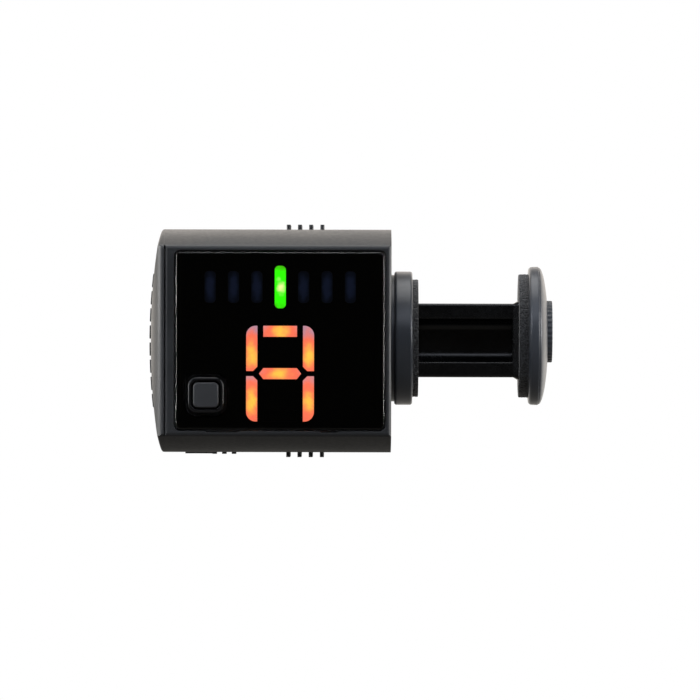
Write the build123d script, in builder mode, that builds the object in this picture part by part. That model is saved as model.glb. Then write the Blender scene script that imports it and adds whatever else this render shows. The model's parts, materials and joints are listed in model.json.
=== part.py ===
"""Clip-on tuner: a display housing with a spring-loaded sliding jaw.

Units are millimetres. The origin is on the slide axis, in the plane of the fixed pad's face.
+X runs along the slide towards the moving jaw, +Y to the back of the housing and +Z up.
"""
from build123d import *
import os
from math import sqrt

# ---------------------------------------------------------------- driving dimensions
# jaws
jaw_opening = 11.7            # between the pads with the spring at rest
jaw_travel = 8.0              # how far the moving jaw pulls out
pad_thickness = 0.7
fixed_disc_radius = 7.8
fixed_disc_thickness = 2.1
fixed_pad_radius = 6.9
collar_radius = 7.4           # dark groove between the fixed disc and the housing
collar_length = 0.4
moving_disc_radius = 8.1
moving_disc_thickness = 1.2
moving_pad_thickness = 1.15
moving_pad_radius = 7.25
fixed_rise = 0.25             # fixed disc's centre above the slide axis
moving_rise = 0.55            # moving disc's centre above the slide axis
cap_rise = 1.15               # crown of the moving jaw's cap
badge_radius = 3.6            # plain grooved disc on the cap
badge_height = 0.45
badge_rise = 0.5              # its centre above the disc's
disc_round = 0.3
disc_chamfer = 0.12
pad_chamfer = 0.25
pad_hole_clearance = 0.1
cap_overlap = 0.1             # cap's edge inside the moving disc's
badge_seat_share = 0.6        # how deep in the crown the disc on the cap is seated
badge_clearance = 0.05
badge_chamfer = 0.12
badge_grooves = (2.8, 2.0, 1.2)  # outer radii
badge_groove_width = 0.35
badge_groove_depth = 0.2

# sliding bar, a channel that opens to the front
bar_height = 8.6
bar_depth = 6.2
rail_thickness = 1.75
web_thickness = 1.6
recess_round = 1.275          # inner corners of the channel
bar_edge_round = 0.25
bar_stop_gap = 0.05           # between the bar's tail and the end of its guide
tail_wall = 1.2
root_length = 0.7             # solid root next to the moving pad
root_flare = 0.35
flare_length = 0.6            # length over which the bar widens to its root
slide_clearance = 0.1

# housing
body_length = 26.25
body_height = 26.0
crown_drop = 2.05             # front edge inside the full height, above and below
crown_run = 11.0              # depth over which the front half swells to full height
body_drop = 0.1               # housing's mid-height below the slide axis
wall = 1.2
front_wall = 2.2
rear_wall = 1.5
front_round = 0.5
side_round = 0.45             # front edges at the housing's two ends
rear_round = 1.3
rear_side_round = 0.8
parting_gap = 0.06
lip_length = 1.0              # tongue of the rear shell inside the front shell
lip_thickness = 0.6
lip_clearance = 0.08
trim_gap = 0.1                # left in the tongue round the bosses and the bar guide
weld = 0.1                    # overlap that joins two solids of one piece
cut_over = 1.0                # how far a cut starts outside the wall that it opens
opening_corner = 0.3          # corners of the openings round the spigot

# left end cap
end_cap_rise = 1.6
end_crown_radius = 72.0
end_cap_roll = 4.0            # depth over which the cap rolls over to the front and the back
end_cap_round = 0.3
end_rib_count = 8
end_rib_pitch = 2.0
end_rib_height = 1.55
end_rib_length = 6.0
end_rib_rise = 0.32
end_rib_corner = 0.35
end_rib_seat = 0.3            # depth at which the ribs start inside the cap

# grip ribs on the top and underside
grip_count = 4
grip_pitch = 1.31
grip_width = 0.46
grip_rise = 0.58
grip_length = 11.0
grip_setback = 0.4            # their front ends, behind the shell's parting line
grip_flat = 0.02              # half the flat left at a rib's end
grip_shift = 3.12             # their centre, right of the housing's middle

# lens, film and light mask
side_bezel = 1.075            # housing's face beside the lens
top_bezel = 0.7               # housing's face above and below the lens
lens_thickness = 1.2
lens_corner = 0.55
lens_proud = 0.15
lens_groove = 0.2
lens_shift = 0.28             # lens centre, right of the housing's middle
lens_edge_round = 0.2
film_thickness = 0.15
ledge = 0.7
mask_depth = 3.0
mask_flange = 0.25
mask_clearance = 0.1
mask_corner = 0.4
mask_pin_radius = 0.5
mask_pin_clearance = 0.05
notch_places = ((-6.6, 4.0), (5.7, 2.1))  # centre and width of the slots under the lens
notch_height = 0.3
notch_depth = 0.8

# meter windows
meter_count = 7
meter_pitch = 2.7
meter_width = 1.27
meter_flat = 0.15             # half the flat left at a bar's end
meter_height = 3.65
center_bar_height = 4.9
meter_rise = 6.2              # above the housing's mid-height

# seven-segment digit
digit_width = 7.82
digit_height = 11.05
digit_drop = 3.8              # below the housing's mid-height
segment_width = 1.27
tip_share = 0.6               # of the gap, between the middle segment's tips and the inner edges
segment_gap = 0.35
split_gap = 0.6               # between the upper and the lower uprights
segment_round = 1.1
segment_cut = 0.5
window_clearance = 0.04
light_pipe_depth = 1.8

# power button
button_size = 2.92
button_corner = 0.55
button_edge = (3.5, 3.97)     # its centre, in from the lens's left and lower edges
button_proud = 0.35
button_travel = 0.35
button_clearance = 0.05
surround_size = 4.1
lens_hole_gap = 0.36          # between the surround and the lens
surround_gap = 0.26           # between the button and the surround
surround_corner = 1.0
surround_proud = 0.12
surround_round = 0.15
button_round = 0.18
flange_thickness = 0.4
flange_gap = 0.1
flange_inset = 0.15
stem_radius = 0.9

# circuit board
board_end_clearance = 0.15    # to the housing's end walls
board_inset = 0.2             # its upper and lower edges, inside the lens's
board_thickness = 0.8
board_notch = (2.9, 2.2)
part_room = 3.0               # between the board and the bar's guide
switch_size = 3.0
switch_height = 1.2
switch_floor = 0.1
plunger_radius = 0.8
plunger_proud = 0.45
plunger_clearance = 0.05

# parts on the board, placed from the lens's centre and the housing's mid-height
led_size = 0.8
led_height = 0.5
meter_led_length = 1.6
controller_size = 5.0
controller_height = 0.9
controller_chamfer = 0.15
controller_place = (0.0, 4.5)
controller_leads = 6
controller_lead = (0.3, 0.7, 0.25)  # width, length, thickness
preamp_size = 3.0
preamp_height = 0.8
preamp_place = (7.5, 5.0)
preamp_leads = 4
preamp_lead = (0.3, 0.6, 0.2)
lead_pitch = 0.8
crystal_size = (3.2, 1.5, 0.8)
crystal_corner = 0.3
crystal_place = (-6.0, 5.0)
passive_size = (1.0, 0.5, 0.4)
passive_pitch = (2.4, 2.0)
passive_drop = 4.5
passive_columns = 5
passive_rows = 3

# guide for the bar
guide_wall = 1.8
guide_end_wall = 1.2
spigot_wall = 1.1
spigot_length = 2.4
socket_clearance = 0.05
ear_size = 2.6
ear_neck = 1.3                # length of an ear towards the guide, beyond its round end
ear_thickness = 1.2
ear_inset = (3.05, 5.05)      # ear centres, in from the guide's left and right ends
ear_front = 0.0
ear_gap = 0.05

# return spring and its seat
spring_length = 14.0
spring_diameter = 3.6
spring_wire = 0.36
spring_turns = 13
seat_thickness = 1.5
seat_inset = 2.6              # seat's right side, left of the housing's right end
seat_clearance = 0.15
seat_pin_clearance = 0.2
seat_pin_length = 1.5
spring_front_gap = 0.1        # spring behind the bar's front face

# coin cell and its bay
cell_radius = 10.0
cell_thickness = 3.2
cell_clearance = 0.25
bay_floor = 1.2
bay_gap = 0.6                 # between the bar's guide and the bay's floor
cell_rim = 0.4                # depth of the step round the cell's negative face
cell_step = 1.2
cell_round = 0.25
cell_slack = 0.4              # between the cell and the cover
contact_room = 0.7            # between the bay floor and the cell
contact_thickness = 0.25
contact_foot = 1.2
contact_reach = 3.0           # negative contact's strip, past the cell's centre
contact_inset = 1.4           # negative contact, left of the bar's guide
cover_overhang = 0.7          # cover's radius beyond the cell's
cover_thickness = 1.9
cover_clearance = 0.1
cover_lug_reach = 0.55
cover_lug_thickness = 0.6
cover_lug_width = 4.0
cover_lug_count = 3
cover_lug_start = 90.0
cover_turn = 45.0             # twist that frees the cover
cover_lug_root = 1.2
cover_chamfer = 0.2
lug_mouth_clearance = 0.3
coin_slot = (11.0, 1.6, 0.9)  # length, width, depth
bay_wall = 0.6
lug_room = 0.15
contact_width = 3.0
contact_slack = 0.12
contact_spread = 2.0          # positive contact above the middle, negative one below it

# raised mark on the underside, an arc and three short ribs
mark_rise = 0.22
mark_offset = 9.25            # arc's centre, left of the housing's middle
mark_arc_radius = 3.4
mark_corner = 0.2
mark_stroke = 0.5
mark_rib_pitch = 1.13
mark_rib_length = 4.0
mark_rib_count = 3
mark_rib_start = 2.93         # middle rib, right of the arc's centre
mark_arc_span = (245, 50)     # start and sweep in degrees

# fasteners
case_screw_inset = (2.35, 2.97)  # in from the housing's ends and from its top and bottom
case_screw_depth = 4.0        # underside of the heads behind the parting line
case_screw_radius = 0.6
case_screw_head = 1.15
case_screw_length = 6.0
boss_radius = 1.6
boss_gap = 0.4                # between the front bosses and the board
jaw_screw_radius = 0.5
jaw_screw_head = 1.0
jaw_screw_length = 5.0
guide_screw_radius = 0.6
guide_screw_head = 1.1
guide_screw_length = 4.5
head_thickness = 0.7
head_clearance = 0.1
hole_clearance = 0.1
thread_clearance = 0.02
thread_end_gap = 0.2          # pilot holes run on past the screws' tips
cross_slot = (1.26, 0.3, 0.35)  # length, width and depth of the cross in a screw's head

# vibration pickup
pickup_radius = 4.8
pickup_ceramic_radius = 3.4
pickup_plate = 0.2
pickup_shift = 1.0            # its centre, right of the middle of the bar's guide
lead_radius = 0.22
lead_spread = 0.9             # each lead's distance from the pickup's centre
lead_start = -1.0
lead_step = 1.9               # rise of the leads past the pickup's edge
lead_clear = 0.2              # bend inside the pickup's edge
lead_past = 1.0               # bend in front of the bar's guide
lead_bend = 1.1

# ---------------------------------------------------------------- positions worked out
fixed_disc_face = -pad_thickness
fixed_disc_back = fixed_disc_face - fixed_disc_thickness
body_right = fixed_disc_back - collar_length
body_left = body_right - body_length
body_middle = (body_left + body_right) / 2
cavity_right = body_right - wall
cavity_left = body_left + wall
body_z = -body_drop
lens_width = body_length - 2 * side_bezel
lens_height = body_height - 2 * (crown_drop + top_bezel)
window_width = lens_width - 2 * ledge
window_height = lens_height - 2 * ledge
board_width = cavity_right - cavity_left - 2 * board_end_clearance
board_height = lens_height - 2 * board_inset
lens_x = body_middle + lens_shift
button_x = lens_x - lens_width / 2 + button_edge[0]
button_z = body_z - lens_height / 2 + button_edge[1]

moving_pad_face = jaw_opening
moving_disc_face = moving_pad_face + moving_pad_thickness
moving_disc_back = moving_disc_face + moving_disc_thickness
bar_front = -bar_depth / 2
recess_floor = bar_depth / 2 - web_thickness
recess_half = bar_height / 2 - rail_thickness
recess_end = moving_pad_face - root_length

seat_right = body_right - seat_inset
seat_left = seat_right - seat_thickness
spring_tail = seat_left - spring_length
bar_tail = spring_tail - tail_wall
spring_y = bar_front + spring_diameter / 2 + spring_front_gap

bore_half_z = bar_height / 2 + slide_clearance
bore_half_y = bar_depth / 2 + slide_clearance
guide_half_z = bore_half_z + guide_wall
guide_half_y = bore_half_y + guide_wall
guide_stop = bar_tail - bar_stop_gap
guide_left = guide_stop - guide_end_wall
spigot_half_z = bore_half_z + spigot_wall
spigot_half_y = bore_half_y + spigot_wall
spigot_left = body_right - spigot_length

# the front half's depth is its stack, from the guide forwards
board_back = -guide_half_y - part_room
board_front = board_back - board_thickness
mask_back = board_front
film_back = mask_back - mask_depth
lens_back = film_back - film_thickness
lens_front = lens_back - lens_thickness
front_y = lens_front + lens_proud
front_inner = front_y + front_wall
crest_y = front_y + crown_run
crown_radius = (crown_run ** 2 + crown_drop ** 2) / (2 * crown_drop)

# and so is the rear half's, from the guide back
bay_floor_front = guide_half_y + bay_gap
bay_floor_back = bay_floor_front + bay_floor
cell_y = bay_floor_back + contact_room
cover_back = cell_y + cell_thickness + cell_slack
rear_y = cover_back + cover_thickness
body_depth = rear_y - front_y

cover_radius = cell_radius + cover_overhang
bay_radius = cell_radius + cell_clearance
lip_radius = cover_radius + cover_clearance
groove_radius = cover_radius + cover_lug_reach + cover_clearance
bay_outer = groove_radius + bay_wall
head_seat = crest_y + case_screw_depth
boss_length = crest_y - parting_gap - board_back - boss_gap
case_screw_spacing = (body_length - 2 * case_screw_inset[0], body_height - 2 * case_screw_inset[1])
ear_back = ear_front + ear_thickness
ear_z = guide_half_z + ear_size / 2 + ear_gap
ear_places = ((guide_left + ear_inset[0], 1), (cavity_right - ear_inset[1], -1))
positive_x = body_middle - cell_radius - contact_thickness / 2
negative_x = guide_left - contact_inset
positive_z = body_z + contact_spread
negative_z = body_z - contact_spread
pickup_x = (guide_left + cavity_right) / 2 + pickup_shift


# ---------------------------------------------------------------- helpers
def finish(piece, name):
    """Labels a finished piece and writes it."""
    piece.part.label = name
    export_step(piece.part, f"parts/{name}.step")


def across(x):
    """Plane across the slide at x: its axes are Y and Z, about the housing's mid-height."""
    return Plane(origin=(x, 0, body_z), x_dir=(0, 1, 0), z_dir=(1, 0, 0))


def on_axis(x):
    """Plane across the slide at x, centred on the slide axis."""
    return Plane(origin=(x, 0, 0), x_dir=(0, 1, 0), z_dir=(1, 0, 0))


def on_disc(x, rise=moving_rise):
    """Plane across the slide at x, centred on a disc that stands above the slide axis."""
    return Plane(origin=(x, 0, rise), x_dir=(0, 1, 0), z_dir=(1, 0, 0))


def facing(y, x=lens_x, z=body_z):
    """Plane that faces the viewer at depth y: its axes are X and Z, its normal is -Y."""
    return Plane(origin=(x, y, z), x_dir=(1, 0, 0), z_dir=(0, -1, 0))


def half_height(y, inset):
    """Half the height of the housing's skin at depth y, inset below its surface."""
    ahead = min(y - crest_y, 0)
    return body_height / 2 - crown_radius + sqrt((crown_radius - inset) ** 2 - ahead ** 2)


def shell_section(x, front, rear, inset=0.0, front_fillet=0.0, rear_fillet=0.0):
    """Section of the housing between two depths: crowned in front of the crest, flat behind it."""
    with BuildSketch(across(x)) as section:
        with BuildLine():
            Line((front, 0), (front, half_height(front, inset)))
            bend = min(rear, crest_y)
            if front < crest_y:
                middle = (front + bend) / 2
                ThreePointArc(
                    (front, half_height(front, inset)),
                    (middle, half_height(middle, inset)),
                    (bend, half_height(bend, inset)),
                )
            if rear > max(front, crest_y):
                Line((max(front, crest_y), half_height(rear, inset)), (rear, half_height(rear, inset)))
            Line((rear, half_height(rear, inset)), (rear, 0))
            mirror(about=Plane.XZ)
        make_face()
        if front_fillet:
            fillet(section.vertices().group_by(Axis.X)[0], front_fillet)
        if rear_fillet:
            fillet(section.vertices().group_by(Axis.X)[-1], rear_fillet)
    return section.sketch


def end_corners(y, radius, side):
    """What rounding takes off the upright edges at depth y: side is 1 on a rear face, -1 on a front face."""
    with BuildSketch(Plane.XY.offset(body_z)) as corners:
        for x, end in ((body_left, -1), (body_right, 1)):
            with Locations((x - end * radius / 2, y - side * radius / 2)):
                Rectangle(radius, radius)
        for x, end in ((body_left, -1), (body_right, 1)):
            with Locations((x - end * radius, y - side * radius)):
                Circle(radius, mode=Mode.SUBTRACT)
    return corners.sketch


def case_screw_places():
    """Centres of the four housing screws, on a plane that faces the viewer."""
    return GridLocations(case_screw_spacing[0], case_screw_spacing[1], 2, 2)


def bar_opening(x, half_z, half_y):
    """Rounded rectangle about the slide axis."""
    with BuildSketch(on_axis(x)) as opening:
        RectangleRounded(2 * half_y, 2 * half_z, opening_corner)
    return opening.sketch


def segment_outline(name):
    """Outline of one digit segment about the digit's centre."""
    half_w, half_h = digit_width / 2, digit_height / 2
    inner = half_w - segment_width
    with BuildSketch(facing(lens_back, z=body_z - digit_drop)) as outline:
        if name in "ad":
            side = 1 if name == "a" else -1
            with Locations((0, side * (half_h - segment_width / 2))):
                Rectangle(2 * (inner - 2 * segment_gap), segment_width)
        elif name == "g":
            tip = inner - tip_share * segment_gap
            with BuildLine():
                Polyline(
                    (-tip, 0), (-tip + segment_cut, segment_width / 2),
                    (tip - segment_cut, segment_width / 2), (tip, 0),
                    (tip - segment_cut, -segment_width / 2), (-tip + segment_cut, -segment_width / 2),
                    close=True,
                )
            make_face()
        else:
            side = 1 if name in "bc" else -1
            end = 1 if name in "bf" else -1
            with BuildLine():
                Polyline(
                    (side * half_w, end * split_gap / 2),
                    (side * half_w, end * half_h),
                    (side * inner, end * half_h),
                    (side * inner, end * (split_gap / 2 + segment_cut)),
                    (side * (inner + segment_cut), end * split_gap / 2),
                    close=True,
                )
            make_face()
            fillet(outline.vertices().sort_by_distance((side * half_w, end * half_h))[0], segment_round)
    return outline.sketch


def meter_outline(index, spread=0.0):
    """Outline of one meter window, a pill; the centre one is taller."""
    place = index - (meter_count - 1) / 2
    height = center_bar_height if place == 0 else meter_height
    with BuildSketch(facing(lens_back, x=lens_x + place * meter_pitch, z=body_z + meter_rise)) as outline:
        RectangleRounded(meter_width + spread, height + spread, meter_width / 2 - meter_flat)
    return outline.sketch


def screw(plane_point, direction, radius, head_radius, length):
    """Pan-head screw: its head's underside is at plane_point and its shank runs along direction."""
    plane = Plane(origin=plane_point, z_dir=direction)
    with BuildPart() as body:
        with BuildSketch(plane):
            Circle(radius)
        extrude(amount=length)
        with BuildSketch(plane):
            Circle(head_radius)
        extrude(amount=-head_thickness)
        with BuildSketch(plane.offset(-head_thickness)):
            Rectangle(cross_slot[0], cross_slot[1])
            Rectangle(cross_slot[1], cross_slot[0])
        extrude(amount=cross_slot[2], mode=Mode.SUBTRACT)
    return body.part


os.makedirs("parts", exist_ok=True)
segment_names = "abcdefg"

# ---------------------------------------------------------------- front shell
with BuildPart() as housing_front:
    extrude(shell_section(body_left, front_y, crest_y - parting_gap, front_fillet=front_round),
            amount=body_length)
    extrude(end_corners(front_y, side_round, -1), amount=body_height, both=True, mode=Mode.SUBTRACT)
    extrude(shell_section(cavity_left, front_inner, crest_y, inset=wall),
            amount=cavity_right - cavity_left, mode=Mode.SUBTRACT)
    # pocket and window for the lens
    with BuildSketch(facing(front_y)):
        RectangleRounded(lens_width + 2 * lens_groove, lens_height + 2 * lens_groove, lens_corner + lens_groove)
    extrude(amount=-(film_back - front_y), mode=Mode.SUBTRACT)
    with BuildSketch(facing(front_y)):
        RectangleRounded(window_width, window_height, lens_corner)
    extrude(amount=-front_wall, mode=Mode.SUBTRACT)
    # two notches under the lens for prising it out
    with BuildSketch(facing(front_y)):
        for notch_x, notch_width in notch_places:
            with Locations((notch_x, -lens_height / 2 - lens_groove)):
                Rectangle(notch_width, notch_height)
    extrude(amount=-notch_depth, mode=Mode.SUBTRACT)
    # screw bosses behind the board, clear of its back
    with BuildSketch(facing(crest_y - parting_gap, x=body_middle)):
        with case_screw_places():
            Circle(boss_radius)
    extrude(amount=boss_length)
    with BuildSketch(facing(crest_y - parting_gap, x=body_middle)):
        with case_screw_places():
            Circle(case_screw_radius + thread_clearance)
    extrude(amount=boss_length, mode=Mode.SUBTRACT)
    # opening for the fixed jaw's spigot
    extrude(bar_opening(cavity_right - cut_over, spigot_half_z + socket_clearance, spigot_half_y + socket_clearance),
            amount=wall + 2 * cut_over, mode=Mode.SUBTRACT)
finish(housing_front, "housing_front")


# ---------------------------------------------------------------- rear shell
with BuildPart() as housing_rear:
    extrude(shell_section(body_left, crest_y, rear_y, rear_fillet=rear_round), amount=body_length)
    extrude(end_corners(rear_y, rear_side_round, 1), amount=body_height, both=True, mode=Mode.SUBTRACT)
    extrude(shell_section(cavity_left, crest_y - cut_over, rear_y - rear_wall, inset=wall),
            amount=cavity_right - cavity_left, mode=Mode.SUBTRACT)
    # tongue that sits inside the front shell, and the thicker wall that it stands on
    extrude(shell_section(cavity_left - weld, crest_y, crest_y + lip_length, inset=wall - weld),
            amount=cavity_right - cavity_left + 2 * weld)
    extrude(shell_section(cavity_left + lip_clearance, crest_y - lip_length, crest_y + lip_length,
                          inset=wall + lip_clearance),
            amount=cavity_right - cavity_left - 2 * lip_clearance)
    extrude(shell_section(cavity_left + lip_clearance + lip_thickness, crest_y - lip_length - cut_over,
                          crest_y + lip_length + cut_over, inset=wall + lip_clearance + lip_thickness),
            amount=cavity_right - cavity_left - 2 * (lip_clearance + lip_thickness), mode=Mode.SUBTRACT)
    with BuildSketch(on_axis(cavity_right)):
        Rectangle(2 * (guide_half_y + trim_gap), 2 * (guide_half_z + trim_gap))
    extrude(amount=-(lip_clearance + lip_thickness + trim_gap), mode=Mode.SUBTRACT)
    with BuildSketch(facing(crest_y, x=body_middle)):
        with case_screw_places():
            Circle(boss_radius + trim_gap)
    extrude(amount=lip_length, mode=Mode.SUBTRACT)
    # round bay for the coin cell, screw columns and posts for the bar guide
    with BuildSketch(facing(rear_y, x=body_middle)):
        Circle(bay_outer)
    extrude(amount=rear_y - bay_floor_front)
    with BuildSketch(facing(rear_y - rear_wall / 2, x=body_middle)):
        with case_screw_places():
            Circle(boss_radius)
    extrude(amount=rear_y - rear_wall / 2 - crest_y)
    for x, side in ear_places:
        with BuildSketch(facing(bay_floor_back - bay_floor / 2, x=x, z=side * ear_z)):
            Circle(ear_size / 2)
        extrude(amount=bay_floor_back - bay_floor / 2 - ear_back)
    # the bay's bore, and the groove and mouths for the cover's lugs
    with BuildSketch(facing(rear_y, x=body_middle)):
        Circle(lip_radius)
    extrude(amount=cover_thickness + lug_room, mode=Mode.SUBTRACT)
    with BuildSketch(facing(rear_y, x=body_middle)):
        Circle(bay_radius)
    extrude(amount=rear_y - bay_floor_back, mode=Mode.SUBTRACT)
    with BuildSketch(facing(cover_back + cover_lug_thickness + lug_room, x=body_middle)):
        Circle(groove_radius)
    extrude(amount=cover_lug_thickness + 2 * lug_room, mode=Mode.SUBTRACT)
    with BuildSketch(facing(rear_y, x=body_middle)):
        with PolarLocations(cover_radius, cover_lug_count, start_angle=cover_lug_start - cover_turn):
            Rectangle(2 * cover_lug_root, cover_lug_width + 2 * lug_mouth_clearance)
        Circle(groove_radius, mode=Mode.INTERSECT)
    extrude(amount=cover_thickness, mode=Mode.SUBTRACT)
    # counterbored screw holes, and the pilot holes in the posts
    with BuildSketch(facing(rear_y, x=body_middle)):
        with case_screw_places():
            Circle(case_screw_head + head_clearance)
    extrude(amount=rear_y - head_seat, mode=Mode.SUBTRACT)
    with BuildSketch(facing(rear_y, x=body_middle)):
        with case_screw_places():
            Circle(case_screw_radius + hole_clearance)
    extrude(amount=body_depth, mode=Mode.SUBTRACT)
    for x, side in ear_places:
        with BuildSketch(facing(ear_back, x=x, z=side * ear_z)):
            Circle(guide_screw_radius + thread_clearance)
        extrude(amount=-(guide_screw_length - ear_thickness + thread_end_gap), mode=Mode.SUBTRACT)
    # slots that the two contacts pass through
    for x, z in ((positive_x, positive_z), (negative_x, negative_z)):
        with BuildSketch(facing(cover_back, x=x, z=z)):
            Rectangle(contact_thickness + 2 * contact_slack, contact_width + 2 * contact_slack)
        extrude(amount=cover_back - bay_floor_front + bay_gap, mode=Mode.SUBTRACT)
    # opening for the fixed jaw's spigot
    extrude(bar_opening(cavity_right - cut_over, spigot_half_z + socket_clearance, spigot_half_y + socket_clearance),
            amount=wall + 2 * cut_over, mode=Mode.SUBTRACT)
    # grip ribs above and below
    for side in (1, -1):
        skin = Plane(origin=(body_middle + grip_shift, crest_y + grip_setback + grip_length / 2,
                             body_z + side * body_height / 2), x_dir=(1, 0, 0), z_dir=(0, 0, side))
        with BuildSketch(skin.offset(-wall / 2)):
            with GridLocations(grip_pitch, 0, grip_count, 1):
                RectangleRounded(grip_width, grip_length, grip_width / 2 - grip_flat)
        extrude(amount=wall / 2 + grip_rise)
    # raised mark on the underside
    underside = Plane(origin=(body_middle - mark_offset, crest_y + grip_setback + mark_rib_length / 2,
                              body_z - body_height / 2), x_dir=(1, 0, 0), z_dir=(0, 0, -1))
    with BuildSketch(underside.offset(-wall / 2)):
        with BuildLine() as arc:
            CenterArc((0, mark_arc_radius - mark_rib_length / 2), mark_arc_radius, *mark_arc_span)
        SlotArc(arc.edges()[0], mark_stroke)
        with Locations((mark_rib_start, 0)):
            with GridLocations(mark_rib_pitch, 0, mark_rib_count, 1):
                RectangleRounded(mark_stroke, mark_rib_length, mark_corner)
    extrude(amount=wall / 2 + mark_rise)
finish(housing_rear, "housing_rear")

# ---------------------------------------------------------------- left end cap
with BuildPart() as end_ribs:
    with BuildSketch(Plane(origin=(body_left - end_rib_seat, 0, body_z), x_dir=(0, 1, 0), z_dir=(-1, 0, 0))):
        with GridLocations(0, end_rib_pitch, 1, end_rib_count):
            RectangleRounded(end_rib_length, end_rib_height, end_rib_corner)
    extrude(amount=end_cap_rise + end_rib_rise)
    crown = Plane(origin=(body_left - end_cap_rise + end_crown_radius, 0, body_z), z_dir=(0, 1, 0))
    with BuildSketch(crown):
        Circle(end_crown_radius + end_rib_rise)
    extrude(amount=body_depth, both=True, mode=Mode.INTERSECT)

with BuildPart() as end_cap_left:
    extrude(shell_section(body_left, front_y, rear_y, front_fillet=front_round, rear_fillet=rear_round),
            amount=-end_cap_rise)
    with BuildSketch(crown):
        Circle(end_crown_radius)
    extrude(amount=body_depth, both=True, mode=Mode.INTERSECT)
    crowned_face = end_cap_left.faces().filter_by(GeomType.CYLINDER).sort_by(SortBy.AREA)[-1]
    crowned_edges = crowned_face.edges().sort_by(Axis.Z)
    fillet([crowned_edges[0], crowned_edges[-1]], end_cap_round)
    with BuildSketch(Plane.XY.offset(body_z)):
        with BuildLine():
            EllipticalCenterArc((body_left, front_y + end_cap_roll), end_cap_rise, end_cap_roll,
                                start_angle=180, arc_size=90)
            Line((body_left, front_y), (body_left, rear_y))
            EllipticalCenterArc((body_left, rear_y - end_cap_roll), end_cap_rise, end_cap_roll,
                                start_angle=90, arc_size=90)
            Line((body_left - end_cap_rise, rear_y - end_cap_roll),
                 (body_left - end_cap_rise, front_y + end_cap_roll))
        make_face()
    extrude(amount=body_height, both=True, mode=Mode.INTERSECT)
    add(end_ribs.part)
finish(end_cap_left, "end_cap_left")

# ---------------------------------------------------------------- lens, film, light mask
button_hole = surround_size + 2 * button_clearance
lens_hole = surround_size + 2 * lens_hole_gap
with BuildPart() as display_lens:
    with BuildSketch(facing(lens_front)):
        RectangleRounded(lens_width, lens_height, lens_corner)
    extrude(amount=-lens_thickness)
    fillet(display_lens.faces().sort_by(Axis.Y)[0].edges(), lens_edge_round)
    with BuildSketch(facing(lens_front, x=button_x, z=button_z)):
        RectangleRounded(lens_hole, lens_hole, surround_corner + lens_hole_gap)
    extrude(amount=-lens_thickness, mode=Mode.SUBTRACT)
    chamfer(display_lens.faces().sort_by(Axis.Y)[0].inner_wires().edges(), lens_edge_round)
finish(display_lens, "display_lens")

with BuildPart() as window_film:
    with BuildSketch(facing(lens_back)):
        RectangleRounded(lens_width, lens_height, lens_corner)
    extrude(amount=-film_thickness)
    with BuildSketch(facing(lens_back, x=button_x, z=button_z)):
        RectangleRounded(button_hole, button_hole, surround_corner)
    extrude(amount=-film_thickness, mode=Mode.SUBTRACT)
    for index in range(meter_count):
        extrude(meter_outline(index, window_clearance), amount=-film_thickness, mode=Mode.SUBTRACT)
    for name in segment_names:
        extrude(offset(segment_outline(name), amount=window_clearance / 2, mode=Mode.PRIVATE),
                amount=-film_thickness, mode=Mode.SUBTRACT)
finish(window_film, "window_film")

with BuildPart() as light_mask:
    with BuildSketch(facing(film_back)):
        RectangleRounded(window_width - 2 * mask_clearance, window_height - 2 * mask_clearance, mask_corner)
    extrude(amount=-mask_depth)
    with BuildSketch(facing(front_inner)):
        RectangleRounded(window_width + 2 * mask_flange, window_height + 2 * mask_flange, mask_corner)
    extrude(amount=-(mask_back - front_inner))
    with BuildSketch(facing(film_back, x=button_x, z=button_z)):
        Rectangle(button_hole + 2 * mask_clearance, button_hole + 2 * mask_clearance)
    extrude(amount=-mask_depth, mode=Mode.SUBTRACT)
    for index in range(meter_count):
        extrude(meter_outline(index, window_clearance), amount=-(mask_back - lens_back), mode=Mode.SUBTRACT)
    for name in segment_names:
        extrude(offset(segment_outline(name), amount=window_clearance / 2, mode=Mode.PRIVATE),
                amount=-(mask_back - lens_back), mode=Mode.SUBTRACT)
    with BuildSketch(facing(mask_back)):
        with Locations((-window_width / 2, 0), (window_width / 2, 0)):
            Circle(mask_pin_radius)
    extrude(amount=-(board_thickness + mask_pin_radius))
finish(light_mask, "light_mask")

for index in range(meter_count):
    with BuildPart() as meter_bar:
        extrude(meter_outline(index), amount=-light_pipe_depth)
    finish(meter_bar, f"meter_bar_{index + 1}")

for name in segment_names:
    with BuildPart() as digit_segment:
        extrude(segment_outline(name), amount=-light_pipe_depth)
    finish(digit_segment, f"digit_segment_{name}")

# ---------------------------------------------------------------- circuit board and what is on it
with BuildPart() as main_board:
    with BuildSketch(facing(board_front, x=body_middle)):
        Rectangle(board_width, board_height)
        with GridLocations(board_width, board_height, 2, 2):
            Rectangle(2 * board_notch[0], 2 * board_notch[1], mode=Mode.SUBTRACT)
        with Locations((lens_shift - window_width / 2, 0), (lens_shift + window_width / 2, 0)):
            Circle(mask_pin_radius + mask_pin_clearance, mode=Mode.SUBTRACT)
    extrude(amount=-board_thickness)
finish(main_board, "main_board")

with BuildPart() as meter_leds:
    with BuildSketch(facing(board_front, z=body_z + meter_rise)):
        with GridLocations(meter_pitch, 0, meter_count, 1):
            Rectangle(led_size, meter_led_length)
    extrude(amount=led_height)
finish(meter_leds, "meter_leds")

with BuildPart() as segment_leds:
    for name in segment_names:
        centre = segment_outline(name).faces()[0].center()
        with BuildSketch(facing(board_front, x=centre.X, z=centre.Z)):
            Rectangle(led_size, led_size)
        extrude(amount=led_height)
finish(segment_leds, "segment_leds")

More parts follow.
